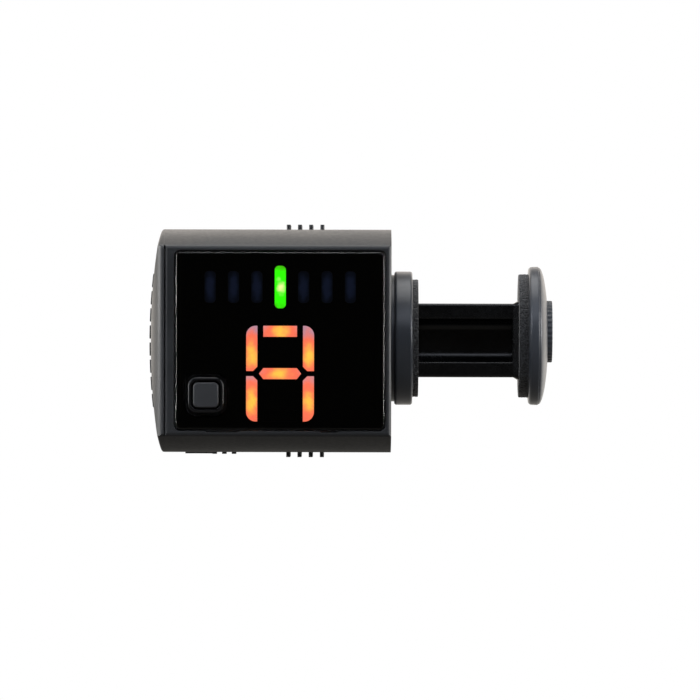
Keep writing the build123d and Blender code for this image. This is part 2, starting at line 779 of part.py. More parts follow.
controller_plane = facing(board_back, x=lens_x + controller_place[0], z=body_z + controller_place[1])
with BuildPart() as microcontroller:
    with BuildSketch(controller_plane):
        Rectangle(controller_size, controller_size)
    extrude(amount=-controller_height)
    chamfer(microcontroller.faces().sort_by(Axis.Y)[-1].edges(), controller_chamfer)
    with BuildSketch(controller_plane):
        with GridLocations(lead_pitch, controller_size + controller_lead[0], controller_leads, 2):
            Rectangle(controller_lead[0], controller_lead[1])
    extrude(amount=-controller_lead[2])
finish(microcontroller, "microcontroller")

preamp_plane = facing(board_back, x=lens_x + preamp_place[0], z=body_z + preamp_place[1])
with BuildPart() as preamp_chip:
    with BuildSketch(preamp_plane):
        Rectangle(preamp_size, preamp_size)
    extrude(amount=-preamp_height)
    with BuildSketch(preamp_plane):
        with GridLocations(lead_pitch, preamp_size + preamp_lead[0], preamp_leads, 2):
            Rectangle(preamp_lead[0], preamp_lead[1])
    extrude(amount=-preamp_lead[2])
finish(preamp_chip, "preamp_chip")

with BuildPart() as timing_crystal:
    with BuildSketch(facing(board_back, x=lens_x + crystal_place[0], z=body_z + crystal_place[1])):
        RectangleRounded(crystal_size[0], crystal_size[1], crystal_corner)
    extrude(amount=-crystal_size[2])
finish(timing_crystal, "timing_crystal")

with BuildPart() as chip_passives:
    with BuildSketch(facing(board_back, z=body_z - passive_drop)):
        with GridLocations(passive_pitch[0], passive_pitch[1], passive_columns, passive_rows):
            Rectangle(passive_size[0], passive_size[1])
    extrude(amount=-passive_size[2])
finish(chip_passives, "chip_passives")

# ---------------------------------------------------------------- power button
surround_front = lens_front - surround_proud
surround_back = film_back
flange_front = surround_back + flange_gap
with BuildPart() as button_surround:
    with BuildSketch(facing(surround_front, x=button_x, z=button_z)):
        RectangleRounded(surround_size, surround_size, surround_corner)
        RectangleRounded(button_size + 2 * surround_gap, button_size + 2 * surround_gap,
                         button_corner + surround_gap, mode=Mode.SUBTRACT)
    extrude(amount=-(surround_back - surround_front))
    fillet(button_surround.faces().sort_by(Axis.Y)[0].outer_wire().edges(), surround_round)
finish(button_surround, "button_surround")

switch_front = board_front - switch_height
plunger_front = switch_front - plunger_proud
with BuildPart() as power_button:
    with BuildSketch(facing(lens_front - button_proud, x=button_x, z=button_z)):
        RectangleRounded(button_size, button_size, button_corner)
    extrude(amount=-(flange_front - lens_front + button_proud))
    fillet(power_button.faces().sort_by(Axis.Y)[0].edges(), button_round)
    with BuildSketch(facing(flange_front, x=button_x, z=button_z)):
        Rectangle(surround_size - 2 * flange_inset, surround_size - 2 * flange_inset)
    extrude(amount=-flange_thickness)
    with BuildSketch(facing(flange_front, x=button_x, z=button_z)):
        Circle(stem_radius)
    extrude(amount=-(plunger_front - flange_front))
finish(power_button, "power_button")

with BuildPart() as tact_switch:
    with BuildSketch(facing(board_front, x=button_x, z=button_z)):
        Rectangle(switch_size, switch_size)
    extrude(amount=switch_height)
    with BuildSketch(facing(switch_front, x=button_x, z=button_z)):
        Circle(plunger_radius + plunger_clearance)
    extrude(amount=-(switch_height - switch_floor), mode=Mode.SUBTRACT)
finish(tact_switch, "tact_switch")

with BuildPart() as switch_plunger:
    with BuildSketch(facing(plunger_front, x=button_x, z=button_z)):
        Circle(plunger_radius)
    extrude(amount=-(plunger_proud + switch_height - 2 * switch_floor - button_travel))
finish(switch_plunger, "switch_plunger")

# ---------------------------------------------------------------- bar guide, spring and seat
with BuildPart() as slide_guide:
    with BuildSketch(on_axis(guide_left)):
        Rectangle(2 * guide_half_y, 2 * guide_half_z)
    extrude(amount=cavity_right - guide_left)
    with BuildSketch(on_axis(guide_stop)):
        Rectangle(2 * bore_half_y, 2 * bore_half_z)
    extrude(amount=cavity_right - guide_stop, mode=Mode.SUBTRACT)
    extrude(bar_opening(spigot_left - socket_clearance, spigot_half_z + socket_clearance,
                        spigot_half_y + socket_clearance), amount=wall + cut_over, mode=Mode.SUBTRACT)
    with BuildSketch(facing(-guide_half_y, x=(seat_left + seat_right) / 2, z=0)):
        Rectangle(seat_thickness, 2 * (recess_half - seat_clearance))
    extrude(amount=-(guide_wall + slide_clearance), mode=Mode.SUBTRACT)
    for x, side in ear_places:
        with BuildSketch(facing(ear_front, x=x, z=side * (ear_z - ear_neck / 2))):
            Rectangle(ear_size, ear_size + ear_neck)
        extrude(amount=-ear_thickness)
        with BuildSketch(facing(ear_front, x=x, z=side * ear_z)):
            Circle(guide_screw_radius + hole_clearance)
        extrude(amount=-ear_thickness, mode=Mode.SUBTRACT)
finish(slide_guide, "slide_guide")

with BuildPart() as spring_seat:
    with BuildSketch(facing(-guide_half_y, x=(seat_left + seat_right) / 2, z=0)):
        Rectangle(seat_thickness, 2 * (recess_half - seat_clearance))
    extrude(amount=-(guide_half_y + spring_y + spring_diameter / 2))
    with BuildSketch(Plane(origin=(seat_left, spring_y, 0), z_dir=(-1, 0, 0))):
        Circle(spring_diameter / 2 - spring_wire - seat_pin_clearance)
    extrude(amount=seat_pin_length)
finish(spring_seat, "spring_seat")

coil_length = spring_length - spring_wire
with BuildPart() as return_spring:
    with BuildLine() as coil:
        Helix(coil_length / spring_turns, coil_length, (spring_diameter - spring_wire) / 2,
              center=(spring_tail + spring_wire / 2, spring_y, 0), direction=(1, 0, 0))
    with BuildSketch(Plane(origin=coil.line @ 0, z_dir=coil.line % 0)):
        Circle(spring_wire / 2)
    sweep(is_frenet=True)
finish(return_spring, "return_spring")

# ---------------------------------------------------------------- fixed jaw and its pad
with BuildPart() as fixed_jaw:
    with BuildSketch(on_disc(fixed_disc_back, fixed_rise)):
        Circle(fixed_disc_radius)
    extrude(amount=fixed_disc_thickness)
    fillet(fixed_jaw.edges().filter_by(GeomType.CIRCLE), disc_round)
    with BuildSketch(on_disc(body_right, fixed_rise)):
        Circle(collar_radius)
    extrude(amount=collar_length)
    extrude(bar_opening(spigot_left, spigot_half_z, spigot_half_y), amount=body_right - spigot_left)
    with BuildSketch(on_axis(spigot_left)):
        Rectangle(2 * bore_half_y, 2 * bore_half_z)
    extrude(amount=fixed_disc_face - spigot_left, mode=Mode.SUBTRACT)
finish(fixed_jaw, "fixed_jaw")

with BuildPart() as fixed_pad:
    with BuildSketch(on_disc(fixed_disc_face, fixed_rise)):
        Circle(fixed_pad_radius)
    extrude(amount=pad_thickness)
    with BuildSketch(on_axis(fixed_disc_face)):
        Rectangle(2 * (bore_half_y + pad_hole_clearance), 2 * (bore_half_z + pad_hole_clearance))
    extrude(amount=pad_thickness, mode=Mode.SUBTRACT)
finish(fixed_pad, "fixed_pad")

# ---------------------------------------------------------------- sliding bar and moving jaw
root_half_z = bar_height / 2 + root_flare
root_half_y = bar_depth / 2 + root_flare
rail_y = (bar_front + recess_floor) / 2
rail_z = bar_height / 2 - rail_thickness / 2
jaw_screw_places = [(rail_y, rail_z), (rail_y, -rail_z)]
with BuildPart() as slider_bar:
    with BuildSketch(on_axis(bar_tail)):
        RectangleRounded(bar_depth, bar_height, bar_edge_round)
    extrude(amount=moving_disc_face - bar_tail)
    with BuildSketch(on_axis(moving_pad_face - flare_length)):
        RectangleRounded(bar_depth, bar_height, bar_edge_round)
    with BuildSketch(on_axis(moving_pad_face)):
        RectangleRounded(2 * root_half_y, 2 * root_half_z, bar_edge_round + root_flare)
    loft()
    with BuildSketch(on_axis(moving_pad_face)):
        RectangleRounded(2 * root_half_y, 2 * root_half_z, bar_edge_round + root_flare)
    extrude(amount=moving_pad_thickness)
    with BuildSketch(on_axis(spring_tail)) as recess:
        with Locations((recess_floor - bar_depth / 2, 0)):
            Rectangle(bar_depth, 2 * recess_half)
        fillet(recess.vertices().group_by(Axis.X)[-1], recess_round)
    extrude(amount=recess_end - spring_tail, mode=Mode.SUBTRACT)
    with BuildSketch(on_axis(moving_disc_face)):
        with Locations(*jaw_screw_places):
            Circle(jaw_screw_radius + thread_clearance)
    extrude(amount=-(jaw_screw_length - moving_disc_thickness + head_thickness + thread_end_gap),
            mode=Mode.SUBTRACT)
finish(slider_bar, "slider_bar")

with BuildPart() as moving_pad:
    with BuildSketch(on_disc(moving_pad_face)):
        Circle(moving_pad_radius)
    extrude(amount=moving_pad_thickness)
    chamfer(moving_pad.faces().sort_by(Axis.X)[0].edges(), pad_chamfer)
    with BuildSketch(on_axis(moving_pad_face)):
        Rectangle(2 * (root_half_y + pad_hole_clearance), 2 * (root_half_z + pad_hole_clearance))
    extrude(amount=moving_pad_thickness, mode=Mode.SUBTRACT)
finish(moving_pad, "moving_pad")

with BuildPart() as moving_jaw:
    with BuildSketch(on_disc(moving_disc_face)):
        Circle(moving_disc_radius)
    extrude(amount=moving_disc_thickness)
    chamfer(moving_jaw.faces().sort_by(Axis.X)[-1].edges(), disc_chamfer)
    fillet(moving_jaw.faces().sort_by(Axis.X)[0].edges(), disc_round)
    with BuildSketch(on_axis(moving_disc_face)):
        with Locations(*jaw_screw_places):
            Circle(jaw_screw_radius + hole_clearance)
    extrude(amount=moving_disc_thickness, mode=Mode.SUBTRACT)
    with BuildSketch(on_axis(moving_disc_back - head_thickness)):
        with Locations(*jaw_screw_places):
            Circle(jaw_screw_head + head_clearance)
    extrude(amount=head_thickness, mode=Mode.SUBTRACT)
finish(moving_jaw, "moving_jaw")

badge_seat = moving_disc_back + cap_rise * badge_seat_share
badge_front = moving_disc_back + cap_rise + badge_height
cap_radius = moving_disc_radius - cap_overlap
badge_middle = moving_rise + badge_rise
with BuildPart() as jaw_cap:
    with BuildSketch(Plane.XY.offset(moving_rise)) as crown_profile:
        with BuildLine():
            EllipticalCenterArc((moving_disc_back, 0), cap_rise, cap_radius, start_angle=0, arc_size=90)
            Line((moving_disc_back, cap_radius), (moving_disc_back, 0))
            Line((moving_disc_back, 0), (moving_disc_back + cap_rise, 0))
        make_face()
    revolve(axis=Axis((0, 0, moving_rise), (1, 0, 0)))
    with BuildSketch(on_disc(badge_seat, badge_middle)):
        Circle(badge_radius + badge_clearance)
    extrude(amount=cap_rise, mode=Mode.SUBTRACT)
finish(jaw_cap, "jaw_cap")

with BuildPart() as cap_badge:
    with BuildSketch(on_disc(badge_seat, badge_middle)):
        Circle(badge_radius)
    extrude(amount=badge_front - badge_seat)
    chamfer(cap_badge.faces().sort_by(Axis.X)[-1].edges(), badge_chamfer)
    with BuildSketch(on_disc(badge_front - badge_groove_depth, badge_middle)):
        for radius in badge_grooves:
            Circle(radius)
            Circle(radius - badge_groove_width, mode=Mode.SUBTRACT)
    extrude(amount=badge_groove_depth, mode=Mode.SUBTRACT)
finish(cap_badge, "cap_badge")

# ---------------------------------------------------------------- battery bay
with BuildPart() as coin_cell:
    with BuildSketch(facing(cell_y + cell_thickness, x=body_middle)):
        Circle(cell_radius)
    extrude(amount=cell_thickness - cell_rim)
    fillet(coin_cell.edges().filter_by(GeomType.CIRCLE), cell_round)
    with BuildSketch(facing(cell_y + cell_rim, x=body_middle)):
        Circle(cell_radius - cell_step)
    extrude(amount=cell_rim)
finish(coin_cell, "coin_cell")

contact_end = cell_y + cell_thickness - cell_rim
with BuildPart() as positive_contact:
    with BuildSketch(facing(contact_end, x=positive_x, z=positive_z)):
        Rectangle(contact_thickness, contact_width)
    extrude(amount=contact_end - board_back)
    with BuildSketch(facing(board_back, x=positive_x + contact_foot / 2, z=positive_z)):
        Rectangle(contact_foot + contact_thickness, contact_width)
    extrude(amount=-contact_thickness)
finish(positive_contact, "positive_contact")

strip_end = body_middle + contact_reach
with BuildPart() as negative_contact:
    with BuildSketch(facing(bay_floor_back, x=(negative_x + strip_end) / 2, z=negative_z)):
        Rectangle(strip_end - negative_x + contact_thickness, contact_width)
    extrude(amount=-contact_thickness)
    with BuildSketch(facing(bay_floor_back, x=body_middle)):
        Circle(contact_width)
    extrude(amount=-contact_thickness)
    with BuildSketch(facing(bay_floor_back, x=body_middle)):
        Circle(contact_width / 2)
    extrude(amount=-contact_room)
    with BuildSketch(facing(bay_floor_back + contact_thickness, x=negative_x, z=negative_z)):
        Rectangle(contact_thickness, contact_width)
    extrude(amount=bay_floor_back + contact_thickness - board_back)
    with BuildSketch(facing(board_back, x=negative_x + contact_foot / 2, z=negative_z)):
        Rectangle(contact_foot + contact_thickness, contact_width)
    extrude(amount=-contact_thickness)
finish(negative_contact, "negative_contact")

with BuildPart() as battery_cover:
    with BuildSketch(facing(rear_y, x=body_middle)):
        Circle(cover_radius)
    extrude(amount=cover_thickness)
    chamfer(battery_cover.faces().sort_by(Axis.Y)[-1].edges(), cover_chamfer)
    with BuildSketch(facing(cover_back + cover_lug_thickness, x=body_middle)):
        with PolarLocations(cover_radius, cover_lug_count, start_angle=cover_lug_start):
            Rectangle(2 * cover_lug_root, cover_lug_width)
        Circle(cover_radius + cover_lug_reach, mode=Mode.INTERSECT)
    extrude(amount=cover_lug_thickness)
    with BuildSketch(facing(rear_y, x=body_middle)):
        SlotOverall(coin_slot[0], coin_slot[1])
    extrude(amount=coin_slot[2], mode=Mode.SUBTRACT)
finish(battery_cover, "battery_cover")

# ---------------------------------------------------------------- vibration pickup
pickup_plane = Plane(origin=(pickup_x, 0, guide_half_z))
with BuildPart() as pickup_disc:
    with BuildSketch(pickup_plane):
        Circle(pickup_radius)
    extrude(amount=pickup_plate)
finish(pickup_disc, "pickup_disc")

with BuildPart() as pickup_ceramic:
    with BuildSketch(pickup_plane.offset(pickup_plate)):
        Circle(pickup_ceramic_radius)
    extrude(amount=pickup_plate)
finish(pickup_ceramic, "pickup_ceramic")

lead_rise = guide_half_z + 2 * pickup_plate + lead_radius
for name, side in (("pickup_lead_signal", -1), ("pickup_lead_ground", 1)):
    x = pickup_x + side * lead_spread
    with BuildPart() as pickup_lead:
        with BuildLine() as route:
            FilletPolyline(
                (x, lead_start, lead_rise), (x, lead_clear - pickup_radius, lead_rise),
                (x, -guide_half_y - lead_past, lead_rise + lead_step), (x, board_back, lead_rise + lead_step),
                radius=lead_bend,
            )
        with BuildSketch(Plane(origin=route.line @ 0, z_dir=route.line % 0)):
            Circle(lead_radius)
        sweep()
    finish(pickup_lead, name)

# ---------------------------------------------------------------- fasteners
with BuildPart() as case_screws:
    for place in case_screw_places():
        at = (body_middle + place.position.X, head_seat, body_z + place.position.Y)
        add(screw(at, (0, -1, 0), case_screw_radius, case_screw_head, case_screw_length))
finish(case_screws, "case_screws")

with BuildPart() as guide_screws:
    for x, side in ear_places:
        add(screw((x, ear_front, side * ear_z), (0, 1, 0), guide_screw_radius, guide_screw_head,
                  guide_screw_length))
finish(guide_screws, "guide_screws")

with BuildPart() as jaw_screws:
    for y, z in jaw_screw_places:
        add(screw((moving_disc_back - head_thickness, y, z), (-1, 0, 0), jaw_screw_radius, jaw_screw_head,
                  jaw_screw_length))
finish(jaw_screws, "jaw_screws")
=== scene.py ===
"""Looks of a clip-on tuner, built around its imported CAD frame.

The frame is the CAD's: +X runs along the slide towards the moving jaw, +Y to the back of the
housing and +Z up. Sizes in the classes are millimetres, and mm() turns them into metres.
"""

import json
import logging
import math
from dataclasses import dataclass, field
from enum import Enum

import bpy
from bpy.types import Material, Node, NodeSocket, Object, World
from mathutils import Matrix, Vector, noise

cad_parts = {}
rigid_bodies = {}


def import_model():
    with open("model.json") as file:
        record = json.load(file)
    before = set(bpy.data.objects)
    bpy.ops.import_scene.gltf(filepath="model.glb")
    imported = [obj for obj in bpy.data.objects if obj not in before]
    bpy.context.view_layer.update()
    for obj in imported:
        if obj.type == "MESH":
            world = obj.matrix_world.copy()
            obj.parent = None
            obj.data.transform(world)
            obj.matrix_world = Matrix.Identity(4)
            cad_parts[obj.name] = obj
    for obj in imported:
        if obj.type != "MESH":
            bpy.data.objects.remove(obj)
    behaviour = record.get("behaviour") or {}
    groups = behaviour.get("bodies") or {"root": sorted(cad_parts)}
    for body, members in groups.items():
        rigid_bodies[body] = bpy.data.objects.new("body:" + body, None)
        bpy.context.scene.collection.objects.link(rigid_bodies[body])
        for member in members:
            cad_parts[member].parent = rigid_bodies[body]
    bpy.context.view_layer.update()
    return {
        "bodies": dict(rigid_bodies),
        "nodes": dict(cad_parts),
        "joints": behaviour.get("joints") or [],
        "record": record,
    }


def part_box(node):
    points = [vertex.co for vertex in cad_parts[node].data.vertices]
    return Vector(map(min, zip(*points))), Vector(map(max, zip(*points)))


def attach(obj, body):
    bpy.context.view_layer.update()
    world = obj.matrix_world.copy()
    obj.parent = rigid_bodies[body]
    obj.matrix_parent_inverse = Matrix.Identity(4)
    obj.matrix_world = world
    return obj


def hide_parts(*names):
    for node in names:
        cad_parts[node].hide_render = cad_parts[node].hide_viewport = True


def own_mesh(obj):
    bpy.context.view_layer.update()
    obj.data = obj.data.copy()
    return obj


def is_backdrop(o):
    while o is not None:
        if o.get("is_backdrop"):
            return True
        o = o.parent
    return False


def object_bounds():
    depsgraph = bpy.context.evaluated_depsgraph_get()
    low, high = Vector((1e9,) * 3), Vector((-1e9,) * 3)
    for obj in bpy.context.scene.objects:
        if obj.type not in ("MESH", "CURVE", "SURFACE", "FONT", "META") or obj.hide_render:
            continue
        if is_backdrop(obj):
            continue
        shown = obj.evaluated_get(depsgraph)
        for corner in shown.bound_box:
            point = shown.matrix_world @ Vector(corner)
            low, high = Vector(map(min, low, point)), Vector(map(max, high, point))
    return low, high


# two numbers that belong together, such as where a span starts and ends
Pair = tuple[float, float]
LOG = logging.getLogger("tuner")
MM_IN_METRE = 1000.0
# the stretch of a noise pattern that holds nearly all its values
NOISE_SPAN = (0.3, 0.7)


def mm(value: float | Vector) -> float | Vector:
    """Turns millimetres into Blender's metres.

    Args:
        value: a length or a place in millimetres.

    Returns:
        The same in metres.
    """
    return value * 0.001


def linear(hex_colour: str) -> tuple[float, float, float, float]:
    """Turns an sRGB hex colour into linear red, green, blue and alpha.

    Args:
        hex_colour: six hex digits with a leading hash.

    Returns:
        The linear colour, with an alpha of one.
    """
    channels = [int(hex_colour[i:i + 2], 16) / 255 for i in (1, 3, 5)]
    low = [c / 12.92 if c <= 0.04045 else ((c + 0.055) / 1.055) ** 2.4 for c in channels]
    return (low[0], low[1], low[2], 1.0)


# ------------------------------------------------------------------------- shader nodes
class ShaderTree:
    """The node tree of one material or of the world."""

    def __init__(self, owner: Material | World) -> None:
        """Starts an empty tree.

        Args:
            owner: the material or the world.
        """
        owner.use_nodes = True
        self.tree = owner.node_tree
        self.tree.nodes.clear()

    def add(self, kind: str, settings: dict | None = None, inputs: dict | None = None) -> Node:
        """Adds one node with its settings, its values and its links.

        Args:
            kind: the node's type without its ShaderNode prefix.
            settings: the node's own properties by name.
            inputs: a value, or another node's output to link, by socket name or number.

        Returns:
            The new node.
        """
        node = self.tree.nodes.new("ShaderNode" + kind)
        for name, value in (settings or {}).items():
            setattr(node, name, value)
        for key, value in (inputs or {}).items():
            if isinstance(value, NodeSocket):
                self.tree.links.new(value, node.inputs[key])
            else:
                node.inputs[key].default_value = value
        return node

    def combine(self, operation: str, first: NodeSocket, second: object) -> NodeSocket:
        """Adds, multiplies or otherwise joins two values.

        Args:
            operation: the Math node's operation.
            first: the first value's socket.
            second: a number or a socket.

        Returns:
            The result's socket.
        """
        return self.add("Math", {"operation": operation}, {0: first, 1: second}).outputs[0]

    def ramp(self, value: NodeSocket, span: Pair,
             result: Pair) -> NodeSocket:
        """Maps a span of values smoothly to another span.

        Args:
            value: the socket whose value is mapped.
            span: where the mapping starts and ends.
            result: what it gives at the start and at the end.

        Returns:
            The mapped value's socket.
        """
        node = self.add("MapRange", {"interpolation_type": "SMOOTHSTEP"},
                        {"Value": value, "From Min": span[0], "From Max": span[1],
                         "To Min": result[0], "To Max": result[1]})
        return node.outputs[0]


class SurfaceTree(ShaderTree):
    """One material's node tree: its shader, and coordinates that count in millimetres."""

    def __init__(self, name: str, **shader: object) -> None:
        """Starts a material.

        Args:
            name: what the material is.
            shader: values for the main shader's own sockets, with _ for a space.
        """
        self.material = bpy.data.materials.new(name)
        super().__init__(self.material)
        values = {key.replace("_", " "): value for key, value in shader.items()}
        self.shader = self.add("BsdfPrincipled", inputs=values)
        self.add("OutputMaterial", inputs={"Surface": self.shader.outputs[0]})
        self.place = self.add("TexCoord")
        scaled = self.add("VectorMath", {"operation": "SCALE"},
                          {0: self.place.outputs["Object"], "Scale": MM_IN_METRE})
        self.millimetres = scaled.outputs[0]

    def noise(self, size: float, detail: float = 2.0, stretch: tuple[float, float, float] = (1, 1, 1),
              roughness: float = 0.5) -> NodeSocket:
        """Gives noise whose features are about size millimetres across.

        Args:
            size: the features' size in millimetres.
            detail: how many finer layers it holds.
            stretch: how much longer the features are along X, Y and Z.
            roughness: how strong the finer layers are.

        Returns:
            A socket that runs from 0 to 1.
        """
        scale = [1 / (size * s) for s in stretch]
        mapped = self.add("VectorMath", {"operation": "MULTIPLY"}, {0: self.millimetres, 1: scale})
        texture = self.add("TexNoise", inputs={"Vector": mapped.outputs[0], "Scale": 1.0,
                                               "Detail": detail, "Roughness": roughness})
        return texture.outputs["Fac"]

    def blend(self, factor: NodeSocket, first: object, second: object) -> NodeSocket:
        """Mixes two colours.

        Args:
            factor: 0 gives the first colour, 1 the second.
            first: a hex colour or a socket.
            second: a hex colour or a socket.

        Returns:
            The mixed colour's socket.
        """
        inputs = {0: factor}
        for key, colour in ((6, first), (7, second)):
            inputs[key] = linear(colour) if isinstance(colour, str) else colour
        return self.add("Mix", {"data_type": "RGBA"}, inputs).outputs[2]

    def relief(self, height: NodeSocket | None, depth: float, edge: float = 0.0) -> None:
        """Gives the shader its normal: softened edges with a relief on them.

        Args:
            height: the relief, from 0 to 1, or None for softened edges alone.
            depth: the relief's depth in millimetres.
            edge: the radius of the softened edges in millimetres.
        """
        normal = None
        if edge:
            normal = self.add("Bevel", {"samples": 6}, {"Radius": mm(edge)}).outputs[0]
        if height is not None:
            inputs = {"Height": height, "Distance": mm(depth), "Strength": 1.0}
            if normal is not None:
                inputs["Normal"] = normal
            normal = self.add("Bump", inputs=inputs).outputs[0]
        if normal is not None:
            self.connect("Normal", normal)

    def connect(self, socket: str, value: NodeSocket) -> None:
        """Links a pattern to one of the main shader's sockets.

        Args:
            socket: the shader socket's name.
            value: the pattern.
        """
        self.tree.links.new(value, self.shader.inputs[socket])

    def tint(self, pattern: NodeSocket, span: Pair, share: Pair,
             first: str, second: str) -> None:
        """Colours the surface between two colours by a pattern.

        Args:
            pattern: the pattern, from 0 to 1.
            span: where in the pattern the change starts and ends.
            share: how much of the second colour there is at the start and at the end.
            first: a hex colour.
            second: a hex colour.
        """
        self.connect("Base Color", self.blend(self.ramp(pattern, span, share), first, second))

    def from_middle(self, spread: Pair,
                    drop: float = 0.0) -> tuple[NodeSocket, NodeSocket]:
        """Measures how far a point of a piece's face is from the face's middle.

        Args:
            spread: how fast the distance grows across and up, two being one half of the piece.
            drop: how far below the middle to measure from, as a share of the height.

        Returns:
            The offset from the middle, and the distance.
        """
        offset = self.add("VectorMath", {"operation": "SUBTRACT"},
                          {0: self.place.outputs["Generated"], 1: (0.5, 0.5, 0.5 - drop)})
        flat = self.add("VectorMath", {"operation": "MULTIPLY"},
                        {0: offset.outputs[0], 1: (spread[0], 0.0, spread[1])})
        reach = self.add("VectorMath", {"operation": "LENGTH"}, {0: flat.outputs[0]})
        return offset.outputs[0], reach.outputs["Value"]


# ------------------------------------------------------------------------------ finishes
class Tooling(Enum):
    """How the mould's surface was made, as the grain's stretch and roughness."""

    SPARK_ERODED = ((1, 1, 1), 0.6)
    DRAW_POLISHED = ((30, 1, 1), 0.5)
    STONED = ((1, 1, 4), 0.5)


class Brushing(Enum):
    """Which way a metal's fine scratches run."""

    NONE = "none"
    ALONG_X = "along the slide"
    ROUND_Y = "turned about the Y axis"


@dataclass(frozen=True)
class MouldedPlastic:
    """Injection-moulded plastic, such as ABS, acetal or nylon."""

    name: str
    colour: str
    bloom: str
    roughness: float
    tooling: Tooling = Tooling.SPARK_ERODED
    grain: float = 0.28
    depth: float = 0.006
    edge: float = 0.12
    flow: float = 7.0
    ior: float = 1.53
    flow_gloss: float = 0.03
    speck_gloss: Pair = (-0.02, 0.03)

    def build(self) -> Material:
        """Makes the plastic: flow-marked colour, uneven gloss, and the mould's own surface.

        Returns:
            The new material.
        """
        tree = SurfaceTree(self.name, IOR=self.ior)
        flow = tree.noise(self.flow, detail=3, stretch=(1.6, 1, 1))
        speck = tree.noise(self.grain * 1.7, detail=1)
        tree.tint(flow, (0.35, 0.7), (0.0, 0.75), self.colour, self.bloom)
        gloss = (self.roughness - self.flow_gloss, self.roughness + self.flow_gloss)
        patches = tree.ramp(flow, NOISE_SPAN, gloss)
        specks = tree.ramp(speck, NOISE_SPAN, self.speck_gloss)
        tree.connect("Roughness", tree.combine("ADD", patches, specks))
        stretch, rough = self.tooling.value
        height = tree.noise(self.grain, stretch=stretch, roughness=rough)
        tree.relief(height, self.depth, self.edge)
        return tree.material


@dataclass(frozen=True)
class CellFoam:
    """Closed-cell foam with a smooth skin on its gripping face."""

    name: str
    colour: str
    wall: str
    cell: float
    depth: float

    def build(self) -> Material:
        """Makes the foam: dark cells, lighter walls, and no gloss.

        Returns:
            The new material.
        """
        tree = SurfaceTree(self.name, IOR=1.45, Sheen_Weight=0.25, Sheen_Roughness=0.6)
        scaled = tree.add("VectorMath", {"operation": "SCALE"}, {0: tree.millimetres, "Scale": 1 / self.cell})
        cells = tree.add("TexVoronoi", {"feature": "F1"}, {"Vector": scaled.outputs[0], "Scale": 1.0})
        walls = tree.ramp(cells.outputs["Distance"], (0.25, 0.75), (0.0, 1.0))
        cut = tree.combine("MULTIPLY", walls, self.sides(tree))
        tree.connect("Base Color", tree.blend(cut, self.colour, self.wall))
        tree.connect("Roughness", tree.ramp(cut, (0.0, 1.0), (0.78, 0.95)))
        tree.relief(cut, self.depth)
        return tree.material

    def sides(self, tree: SurfaceTree) -> NodeSocket:
        """Finds where the foam is cut: its faces across the slide are skinned, its sides aren't.

        Args:
            tree: the foam's node tree.

        Returns:
            A socket with 1 on the cut sides and 0.2 on the skinned faces.
        """
        geometry = tree.add("NewGeometry")
        normal = tree.add("VectorTransform", {"vector_type": "NORMAL", "convert_from": "WORLD",
                                              "convert_to": "OBJECT"}, {0: geometry.outputs["Normal"]})
        split = tree.add("SeparateXYZ", inputs={0: normal.outputs[0]})
        across = tree.add("Math", {"operation": "ABSOLUTE"}, {0: split.outputs["X"]})
        return tree.ramp(across.outputs[0], (0.55, 0.9), (1.0, 0.2))


@dataclass(frozen=True)
class ClearAcrylic:
    """Cast acrylic window with a polished face."""

    name: str
    tint: str
    haze: float

    def build(self) -> Material:
        """Makes the acrylic: clear, glossy, with faint handling haze.

        Returns:
            The new material.
        """
        tree = SurfaceTree(self.name, Base_Color=linear(self.tint), IOR=1.49, Transmission_Weight=1.0)
        smear = tree.noise(5.0, detail=4, stretch=(1, 1, 2.5))
        tree.connect("Roughness", tree.ramp(smear, (0.45, 0.8), (0.0, self.haze)))
        return tree.material


@dataclass(frozen=True)
class PrintedFilm:
    """Polyester film with screen-printed black ink."""

    name: str
    ink: str
    sheen: str

    def build(self) -> Material:
        """Makes the print: near black, with the ink's fine orange peel.

        Returns:
            The new material.
        """
        tree = SurfaceTree(self.name, IOR=1.45, Specular_IOR_Level=0.3)
        peel = tree.noise(0.35, detail=1)
        tree.tint(peel, NOISE_SPAN, (0.0, 0.3), self.ink, self.sheen)
        tree.connect("Roughness", tree.ramp(peel, NOISE_SPAN, (0.5, 0.6)))
        tree.relief(peel, 0.002)
        return tree.material


@dataclass(frozen=True)
class LightPipe:
    """Moulded polycarbonate light pipe, lit from behind by one LED."""

    name: str
    core: str
    body: str
    tip: str
    foot: str
    core_reach: float
    tip_start: float
    drop: float = 0.0
    spread: Pair = (0.9, 2.0)
    strength: float = 1.1

    def build(self) -> Material:
        """Makes the lit pipe: a hot spot over the LED that fades to the pipe's ends.

        Returns:
            The new material.
        """
        tree = SurfaceTree(self.name, Base_Color=linear("#201412"), IOR=1.58, Roughness=0.45,
                           Emission_Strength=self.strength)
        offset, reach = tree.from_middle(self.spread, self.drop)
        uneven = tree.combine("ADD", reach, tree.ramp(tree.noise(0.9, detail=2), (0.25, 0.75), (-0.14, 0.14)))
        glow = tree.blend(tree.ramp(uneven, (0.0, self.core_reach), (0.0, 1.0)), self.core, self.body)
        height = tree.add("SeparateXYZ", inputs={0: offset}).outputs["Z"]
        ends = tree.blend(tree.ramp(height, (-0.25, 0.25), (0.0, 1.0)), self.foot, self.tip)
        glow = tree.blend(tree.ramp(uneven, (self.tip_start, 1.3), (0.0, 1.0)), glow, ends)
        tree.connect("Emission Color", glow)
        return tree.material


